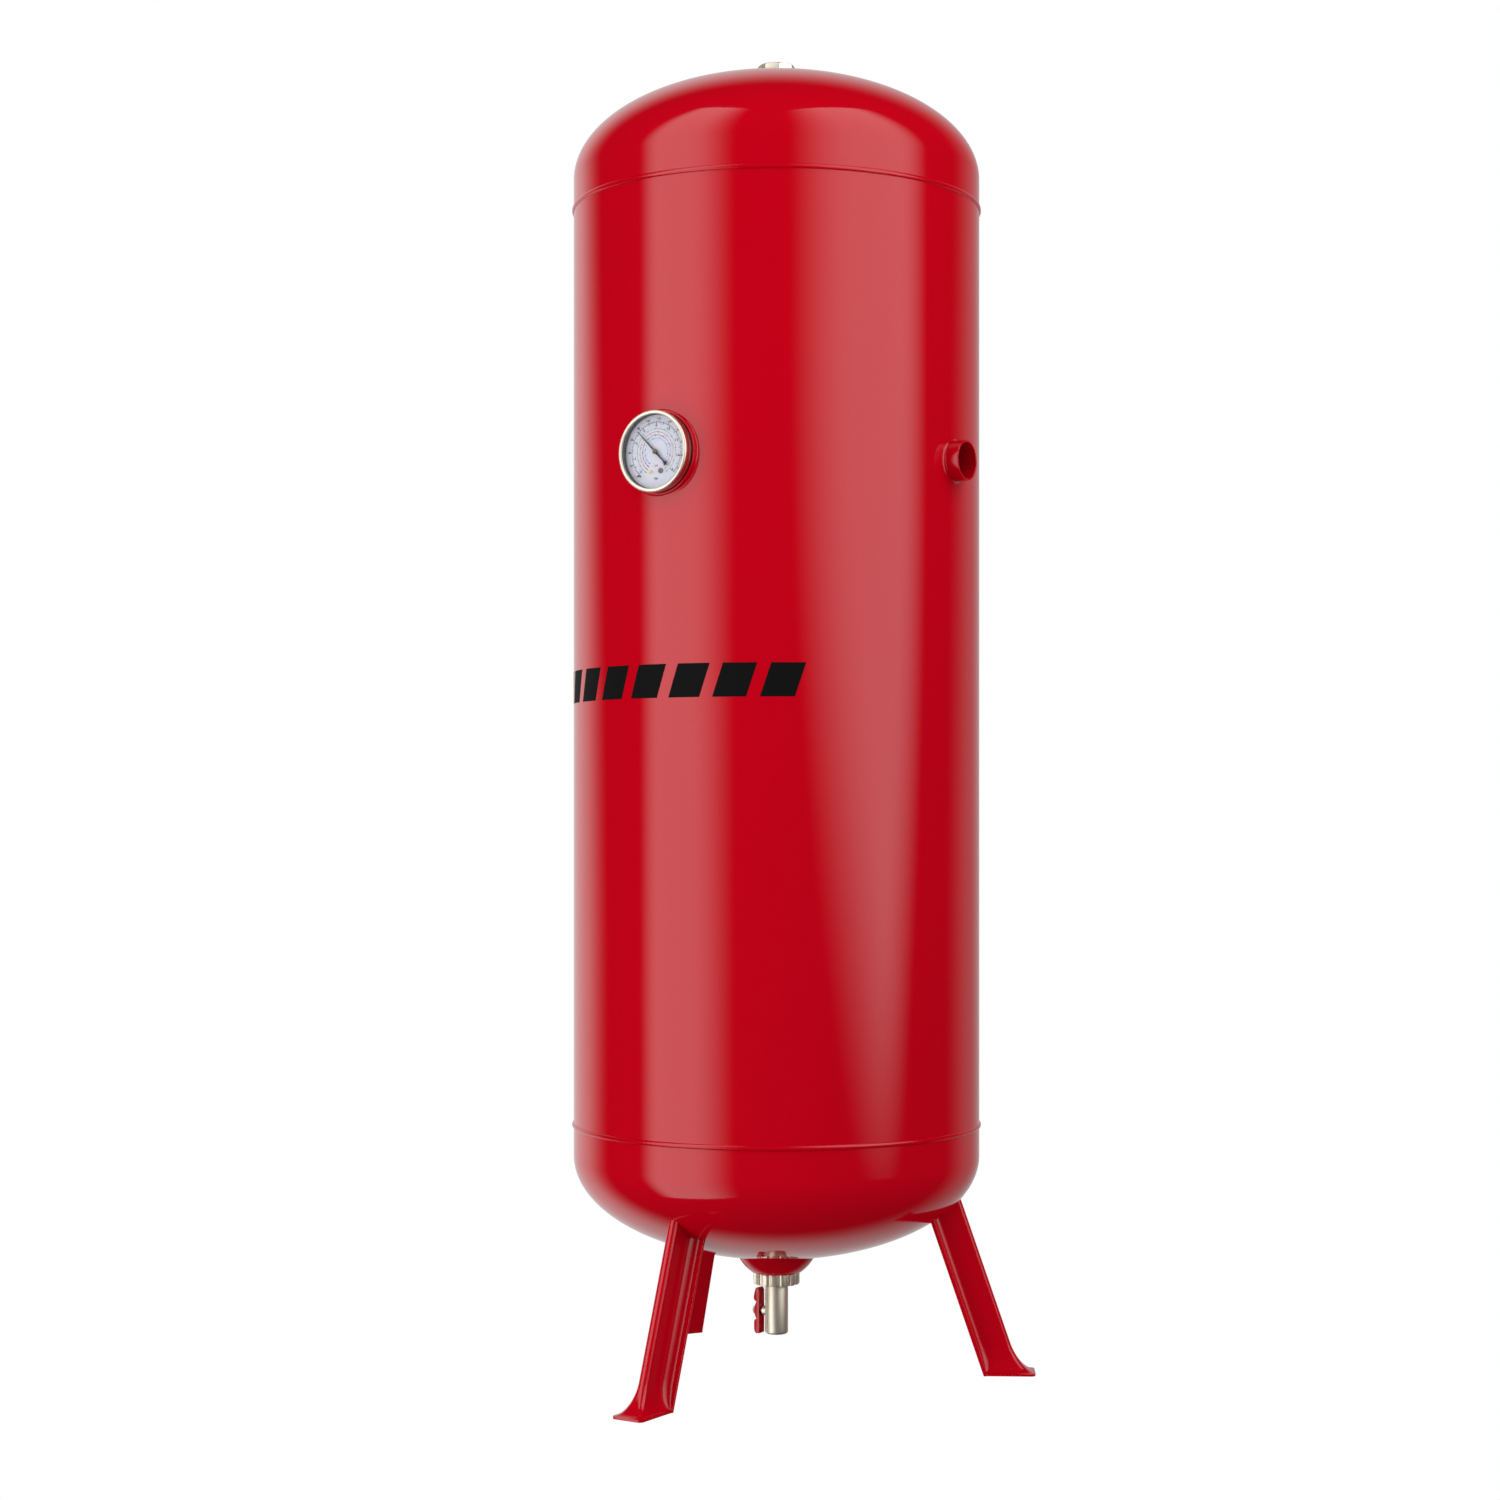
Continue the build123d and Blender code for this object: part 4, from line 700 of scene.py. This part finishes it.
break_edges(plug, PLUG_EDGE, segments=3, angle=25)
finish_piece(plug, nickel, "tank", ["top_plug"], smooth=30)
boss_low, boss_high = (corner.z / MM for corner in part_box("top_boss"))
boss = turned("plug_boss", rounded([(BOSS_BORE, boss_low), (BOSS_R, boss_low), (BOSS_R, boss_high),
                                    (BOSS_BORE, boss_high)], BOSS_EDGE), steps=96)
finish_piece(boss, red_enamel, "tank", ["top_boss"])
paint_node("top_plug_seal", copper)

# ---------------------------------------------------------------- gauge well
# A red cup welded into the shell, which the gauge is screwed into; only its rim shows.
WELL_WALL = 2.5
WELL_RIM = 253.0
WELL_FLOOR = 8.0
WELL_EDGE = 0.8
WELL_FILLET = 2.0
STEM_HOLE = 6.7
well_back = -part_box("gauge_well")[1].y / MM
well = [(STEM_HOLE, well_back), (WELL_R, well_back), (WELL_R, WELL_RIM), (WELL_R - WELL_WALL, WELL_RIM),
        (WELL_R - WELL_WALL, well_back + WELL_FLOOR), (STEM_HOLE, well_back + WELL_FLOOR)]
well = turned("gauge_well_cup", rounded(well, WELL_EDGE), steps=128, matrix=ON_GAUGE)
finish_piece(well, red_enamel, "tank", ["gauge_well"])
well_fillet = fillet_ring("gauge_well_fillet", Vector((0, -1, 0)), WELL_R, WELL_FILLET)
finish_piece(well_fillet, weld_enamel, "tank", smooth=60)

# ---------------------------------------------------------------- gauge case, bezel and window
# A stainless can with a rolled, nickel plated bezel that clips over its mouth and holds a flat
# glass on a rubber ring.
CASE_R = 46.0
CASE_WALL = 1.2
CASE_EDGE = 0.5
BEZEL_R = 47.4
BEZEL_OPENING = 43.1
BEZEL_FRONT = 268.0
BEZEL_DEPTH = 9.0
BEZEL_ROLL = 2.2
BEZEL_HEM = (0.5, 0.7)      # the back edge's chamfer, inwards and forwards
BEZEL_LIP = ((1.0, 0.1), (0.3, 0.5), (0.0, 1.1))       # outwards and back from the opening's front
LENS_R = 44.75
LENS_FRONT = 266.0
LENS_THICKNESS = 2.0
stainless = metal("satin_stainless_steel", "#d9d6d0", "#ccc8c0", 0.2, 0.3, 600.0, 0.05)
rubber = matt("grey_silicone_rubber", "#8c8c94", "#808088", 0.6, 0.75, 500.0)
case_back = -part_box("gauge_case")[1].y / MM
can = [(STEM_HOLE, case_back), (CASE_R, case_back), (CASE_R, LENS_FRONT), (CASE_R - CASE_WALL, LENS_FRONT),
       (CASE_R - CASE_WALL, case_back + CASE_WALL), (STEM_HOLE, case_back + CASE_WALL)]
can = turned("gauge_can", rounded(can, CASE_EDGE), steps=128, matrix=ON_GAUGE)
finish_piece(can, stainless, "tank", ["gauge_case"])

back = BEZEL_FRONT - BEZEL_DEPTH
roll_r, roll_level = BEZEL_R - BEZEL_ROLL, BEZEL_FRONT - BEZEL_ROLL
bezel = [(CASE_R, back), (BEZEL_R - BEZEL_HEM[0], back), (BEZEL_R, back + BEZEL_HEM[1]),
         (BEZEL_R, roll_level)]
bezel += [(roll_r + BEZEL_ROLL * math.cos(a), roll_level + BEZEL_ROLL * math.sin(a)) for a in
          [math.radians(15 * i) for i in range(1, 7)]]
bezel += [(BEZEL_OPENING + out, BEZEL_FRONT - deep) for out, deep in BEZEL_LIP]
bezel += [(BEZEL_OPENING, LENS_FRONT), (CASE_R, LENS_FRONT), (CASE_R, back)]
bezel = turned("rolled_bezel", bezel, steps=192, matrix=ON_GAUGE)
finish_piece(bezel, nickel, "tank", ["gauge_bezel"], smooth=40)
# the bezel's side is bare stainless like the can, and only its rolled front is plated
bezel.data.materials.append(stainless)
for face in bezel.data.polygons:
    around_axis = Vector((face.center.x, face.center.z - PORT_Z * MM)).length
    if around_axis > (BEZEL_R - 0.1) * MM:
        face.material_index = 1

glass, tree, shader = new_material("bloomed_window_glass")
set_shader(shader, IOR=1.5, Transmission_Weight=1.0)
spot = add_node(tree, "ShaderNodeTexCoord")
haze = add_node(tree, "ShaderNodeTexNoise", {"Scale": 60.0, "Detail": 4.0}, {"Vector": (spot, "Object")})
smear = add_node(tree, "ShaderNodeMapRange", {"To Min": 0.0, "To Max": 0.06}, {"Value": (haze, "Fac")})
tree.links.new(smear.outputs[0], shader.inputs["Roughness"])
# a flat pane bloomed against glare: nearly all light goes straight through, a trace is mirrored
clear = add_node(tree, "ShaderNodeBsdfTransparent", {"Color": (0.98, 0.985, 0.99, 1)})
pane = add_node(tree, "ShaderNodeMixShader", {0: 0.12}, {1: (clear, 0), 2: (shader, 0)})
tree.links.new(pane.outputs[0], tree.nodes["Material Output"].inputs["Surface"])
lens_back = LENS_FRONT - LENS_THICKNESS
lens = [(0, lens_back), (LENS_R, lens_back), (LENS_R, LENS_FRONT), (0, LENS_FRONT)]
lens = turned("gauge_window", lens, steps=128, matrix=ON_GAUGE)
finish_piece(lens, glass, "tank", ["gauge_lens"])
paint_node("lens_gasket", rubber)

# ---------------------------------------------------------------- dial
# White painted aluminium, printed in four colours: an outer scale in psi and an inner one in bar
# over three quarters of a turn, with coloured working ranges inside them.
DIAL_FRONT = 258.0
DIAL_R = 43.0
DIAL_HOLE = 1.8
DIAL_THICKNESS = 0.8
PRINT = 0.05                # how far the ink stands off the paint
SWEEP = 135.0               # degrees either side of straight up
TOP_BAR = 16
TOP_PSI = 230
TICK_RING = 34.6
LONG_HALF, SHORT_HALF = 0.7, 0.4        # half widths of long and short marks, in degrees
PSI_NUMBERS = 38.2
BAR_NUMBERS = 30.4
dial_white = matt("dial_white_paint", "#e4e2ee", "#dcdae8", 0.4, 0.55, 700.0)
print_black = matt("print_black", "#101016", "#16161c", 0.5, 0.6, 900.0)
print_green = matt("print_green", "#3f9a60", "#38905a", 0.5, 0.6, 900.0)
print_red = matt("print_red", "#d04450", "#c43c48", 0.5, 0.6, 900.0)
print_blue = matt("print_blue", "#4a84dc", "#427ad2", 0.5, 0.6, 900.0)


def on_dial(radius, degrees, lift=PRINT):
    """A point on the dial, its angle clockwise from straight up."""
    a = math.radians(degrees)
    return Vector((radius * math.sin(a), -DIAL_FRONT - lift, PORT_Z + radius * math.cos(a)))


def printed_arc(inner, outer, start, end, ink):
    """A printed ring sector on the dial."""
    columns = max(1, int(abs(end - start) / 3))
    arc = bent_grid("arc", columns, 1,
                    lambda u, v: on_dial(between(outer, inner, v), between(start, end, u)))
    arc.data.materials.append(ink)
    return arc


def printed_word(word, size, radius, degrees, ink):
    """A number or unit on the dial, facing the reader."""
    bpy.ops.object.select_all(action="DESELECT")
    bpy.ops.object.text_add(location=(0, 0, 0))
    text = bpy.context.object
    text.data.body = word
    text.data.size = size * MM
    text.data.align_x = "CENTER"
    text.data.align_y = "CENTER"
    text.data.resolution_u = 2
    text.data.offset = 0.035 * MM * size
    bpy.ops.object.convert(target="MESH")
    spot = Matrix.Translation(on_dial(radius, degrees) * MM)
    place(text, spot @ Matrix.Rotation(math.radians(90), 4, "X"))
    text.data.materials.append(ink)
    return text


dial_back = DIAL_FRONT - DIAL_THICKNESS
dial = [(DIAL_HOLE, dial_back), (DIAL_R, dial_back), (DIAL_R, DIAL_FRONT), (DIAL_HOLE, DIAL_FRONT)]
dial = turned("dial_plate", dial + dial[:1], steps=96, matrix=ON_GAUGE)
finish_piece(dial, dial_white, "tank", ["gauge_dial"])
ink = [printed_arc(TICK_RING - 0.2, TICK_RING + 0.2, -SWEEP, SWEEP, print_black)]
# a mark each 0.2 bar inside the ring and each 5 psi outside it, every fifth or fourth one long
for marks, every, long, short in ((TOP_BAR * 5, 5, -2.6, -1.4), (TOP_PSI // 5, 4, 1.8, 1.0)):
    for i in range(marks + 1):
        mark = -SWEEP + 2 * SWEEP * i / marks
        length, half = (long, LONG_HALF) if i % every == 0 else (short, SHORT_HALF)
        inner, outer = sorted((TICK_RING, TICK_RING + length))
        ink.append(printed_arc(inner, outer, mark - half, mark + half, print_black))
for i in range(0, TOP_BAR + 1, 2):
    ink.append(printed_word(str(i), 4.4, BAR_NUMBERS, -SWEEP + 2 * SWEEP * i / TOP_BAR, print_black))
for psi in range(0, TOP_PSI, 20):
    ink.append(printed_word(str(psi), 3.6, PSI_NUMBERS, -SWEEP + 2 * SWEEP * psi / TOP_PSI, print_black))
RANGES = ((27.0, print_green, 148.0, 14), (23.2, print_red, 147.0, 12), (19.5, print_black, 146.0, 11),
          (16.0, print_blue, 145.0, 10))
for radius, colour, reach, stops in RANGES:
    ink.append(printed_arc(radius - 0.25, radius + 0.25, -reach, reach, colour))
    for i in range(stops + 1):
        # the marks crowd together towards the low end, as on any scale of vapour temperature
        mark = -reach + 2 * reach * (i / stops) ** 1.6
        ink.append(printed_arc(radius - 0.8, radius + 0.8, mark - 36 / radius, mark + 36 / radius, colour))
ink.append(printed_word("bar", 4.2, 30.5, 180, print_black))
ink.append(printed_word("psi", 4.2, 15.5, 180, print_red))
ink = join_all("dial_print", ink)
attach(ink, "tank")

# ---------------------------------------------------------------- pointer, screws and stop
# A blued steel pointer on a brass hub, its counterweight a small square; two screws hold the
# dial to the movement, and a pin at the zero end stops the pointer.
brass = metal("machined_brass", "#e2cd78", "#d4bc62", 0.3, 0.42, 600.0)
steel = metal("oiled_steel", "#6f6c66", "#5c5954", 0.3, 0.45, 600.0)
hub_bronze = metal("dull_bronze", "#6e6a58", "#5f5b4a", 0.4, 0.55, 600.0)
bronze = metal("drawn_bronze", "#c99b62", "#b8884e", 0.25, 0.4, 600.0)
POINTER_FRONT = 260.9
POINTER_THICKNESS = 0.5
NEEDLE = [(0, 1.1), (-17.6, 1.0), (-20.0, 2.9), (-22.9, 0), (-20.0, -2.9), (-17.6, -1.0), (0, -1.1),
          (35.2, -0.35), (35.2, 0.35)]
POINTER_REST = 135.0


def blanked(name, outline, push):
    """Fills an outline of points in millimetres and pushes the blank out to its thickness."""
    bpy.ops.object.select_all(action="DESELECT")
    bpy.ops.mesh.primitive_circle_add(vertices=len(outline), radius=1, fill_type="NGON", location=(0, 0, 0))
    piece = bpy.context.object
    piece.name = piece.data.name = name
    for vertex, spot in zip(piece.data.vertices, outline):
        vertex.co = Vector(spot) * MM
    only(piece)
    bpy.ops.object.mode_set(mode="EDIT")
    bpy.ops.mesh.select_all(action="SELECT")
    bpy.ops.mesh.remove_doubles(threshold=1e-6)
    bpy.ops.mesh.extrude_region_move(TRANSFORM_OT_translate={"value": Vector(push) * MM})
    bpy.ops.mesh.select_all(action="SELECT")
    bpy.ops.mesh.normals_make_consistent(inside=False)
    bpy.ops.object.mode_set(mode="OBJECT")
    return piece


blade = [(along, across, POINTER_FRONT - POINTER_THICKNESS) for along, across in NEEDLE]
needle = blanked("pointer_blade", blade, (0, 0, POINTER_THICKNESS))
place(needle, ON_GAUGE @ Matrix.Rotation(math.radians(POINTER_REST), 4, "Z"))
finish_piece(needle, black, "pointer", ["gauge_pointer"], smooth=0)
paint_node("stop_pin", black)
paint_node("pointer_hub", hub_bronze)
paint_node("dial_brass_screw", brass)
paint_node("dial_steel_screw", steel)

# ---------------------------------------------------------------- movement
# Behind the dial: two brass plates on pillars, sector and pinion, hairspring, and the flattened
# bronze tube that pressure opens. It is all hidden by the dial, and is kept as it was built.
for name in ("dial_posts", "gauge_socket", "tube_tip", "back_plate", "front_plate", "plate_pillars",
             "sector_gear", "link"):
    paint_node(name, brass)
paint_node("pinion_arbor", hub_bronze)
for name in ("bourdon_tube", "hairspring"):
    paint_node(name, bronze)
for name in ("sector_arbor", "tail_pin"):
    paint_node(name, steel)
paint_node("stem_washer", copper)

# ---------------------------------------------------------------- drain boss and lock nut
# A round red boss welded under the lower end, and under it a nickel plated ring nut with
# scalloped edges for a hook spanner.
SPHERE_R = 53.0
SPHERE_Z = 166.3
NUT_TOP = 122.5
NUT_HEIGHT = 14.0
NUT_R = 28.5
LOBES = 14
SCALLOP_R = 3.4
SCALLOP_OUT = 1.1
SCALLOP_SOFT = 0.15
NUT_RIM = 5.0               # the outer band that the scallops are cut in
NUT_EDGE = 1.1
BORE_R = 10.6
BORE_TOP, BOSS_SHOULDER = 146.0, 152.0      # inside the lower end, which trims them off
ARC_START = math.radians(-12)
ARC_STEPS = 32
arc_end = math.asin((NUT_TOP - SPHERE_Z) / SPHERE_R)
boss = [(SPHERE_R * math.cos(a), SPHERE_Z + SPHERE_R * math.sin(a)) for a in
        [between(ARC_START, arc_end, i / ARC_STEPS) for i in range(ARC_STEPS)]]
edge_r = SPHERE_R * math.cos(arc_end)
boss += [(edge_r - 0.3, NUT_TOP + 0.5), (edge_r - 1.4, NUT_TOP), (BORE_R, NUT_TOP), (BORE_R, BORE_TOP)]
boss += [(edge_r, BOSS_SHOULDER), boss[0]]
boss = turned("drain_boss_ball", boss, steps=128)
end_shape = turned("lower_end_shape", [(0, END_LEVEL - HEAD_DEPTH)] + [
    (TANK_R * math.sin(a), END_LEVEL - HEAD_DEPTH * math.cos(a)) for a in
    [math.radians(i / 2) for i in range(1, 61)]] + [(0, END_LEVEL)], steps=256)
cut_away(boss, end_shape)
finish_piece(boss, red_enamel, "tank", ["drain_boss"], smooth=40)

nut_bottom = NUT_TOP - NUT_HEIGHT
nut = rounded([(BORE_R, nut_bottom), (NUT_R, nut_bottom), (NUT_R, NUT_TOP), (BORE_R, NUT_TOP)], NUT_EDGE)
nut = turned("scalloped_ring_nut", nut, steps=LOBES * 24)
for vertex in nut.data.vertices:
    reach = math.hypot(vertex.co.x, vertex.co.y)
    if reach < (NUT_R - NUT_RIM) * MM:
        continue
    turn = math.atan2(vertex.co.y, vertex.co.x) / (2 * math.pi) * LOBES
    aside = abs(turn - round(turn)) * 2 * math.pi * NUT_R / LOBES
    dip = math.sqrt(max(SCALLOP_R ** 2 - aside ** 2, 0)) - SCALLOP_OUT
    dip = (dip + math.sqrt(dip ** 2 + SCALLOP_SOFT)) / 2
    scale = 1 - dip * MM / reach
    vertex.co.x *= scale
    vertex.co.y *= scale
finish_piece(nut, nickel, "tank", ["ring_nut"], smooth=35)

# ---------------------------------------------------------------- drain valve
# A plain nickel plated barrel with a ball inside, its outlet threaded in the lower face, and a
# side hole for the stem.
VALVE_R = 14.3
VALVE_BOTTOM = 46.5
VALVE_ROUND = 3.2
OUTLET_R = 7.475
OUTLET_CHAMFER = 0.8
SHANK_R = 10.45
SHANK_TOP = 137.5
PORT_R = 5.0
CAVITY_R = 10.2
CAVITY_LOW, CAVITY_HIGH = 60.5, 85.5
OUTLET_DEPTH = 9.0
STEM_LEVEL = 73.0
STEM_BORES = ((3.1, 14.0), (4.6, 3.5))      # radius and depth of the stem's hole and the gland's
ptfe = matt("white_ptfe", "#eceae4", "#e0ded8", 0.4, 0.5, 300.0)
barrel = [(OUTLET_R + OUTLET_CHAMFER, VALVE_BOTTOM)]
for step in range(7):
    a = math.radians(15 * step)
    barrel.append((VALVE_R - VALVE_ROUND * (1 - math.sin(a)), VALVE_BOTTOM + VALVE_ROUND * (1 - math.cos(a))))
barrel += [(VALVE_R, nut_bottom - 0.9), (VALVE_R - 0.5, nut_bottom), (SHANK_R, nut_bottom),
           (SHANK_R, SHANK_TOP), (PORT_R, SHANK_TOP), (PORT_R, CAVITY_HIGH), (CAVITY_R, CAVITY_HIGH),
           (CAVITY_R, CAVITY_LOW), (PORT_R, CAVITY_LOW), (PORT_R, VALVE_BOTTOM + OUTLET_DEPTH),
           (OUTLET_R, VALVE_BOTTOM + OUTLET_DEPTH), (OUTLET_R, VALVE_BOTTOM + OUTLET_CHAMFER)]
barrel = turned("valve_barrel", barrel + barrel[:1], steps=96)
ON_STEM = Matrix.Translation((0, 0, STEM_LEVEL * MM)) @ Matrix.Rotation(math.radians(-90), 4, "Y")
for radius, depth in STEM_BORES:
    drill(barrel, radius, VALVE_R - depth, VALVE_R + 1, ON_STEM)
finish_piece(barrel, nickel, "tank", ["valve_body", "valve_insert"], smooth=35)
paint_node("ball_seats", ptfe)
paint_node("drain_ball", stainless)
paint_node("stem_seal", rubber)
for name in ("stem_gland", "drain_stem", "handle_nut"):
    paint_node(name, nickel)

# ---------------------------------------------------------------- drain handle
# A small cast butterfly handle, painted red: a flat bar against the valve with a lobe at each
# end and one over the stem, all with softly rounded edges.
HANDLE_FACE = 21.6
HANDLE_WIDTH = 12.0
HANDLE_EDGE = 1.1
HANDLE_BORES = ((3.0, -1.0, 12.0), (5.4, -1.0, 1.6))    # radius, start and end from the handle's face
SIDE = [(0.0, -27.5), (1.0, -28.5), (5.2, -28.5), (7.0, -27.0), (8.0, -23.0), (8.0, -13.4), (7.0, -11.6),
        (4.6, -10.6), (6.4, -7.4), (7.6, -3.6), (8.0, 0.0), (7.6, 3.6), (6.4, 7.4), (4.6, 10.6), (7.4, 12.2),
        (8.6, 14.6), (8.2, 18.6), (6.4, 26.0), (5.0, 28.0), (3.4, 28.5), (1.6, 28.0), (0.0, 25.0)]
side = [(-HANDLE_FACE - out, HANDLE_WIDTH / 2, STEM_LEVEL + rise) for out, rise in SIDE]
handle = blanked("butterfly_handle", side, (0, -HANDLE_WIDTH, 0))
for radius, start, end in HANDLE_BORES:
    drill(handle, radius, HANDLE_FACE + start, HANDLE_FACE + end, ON_STEM)
break_edges(handle, HANDLE_EDGE, segments=4, angle=40)
finish_piece(handle, red_enamel, "drain_tap", ["drain_handle"], smooth=50)
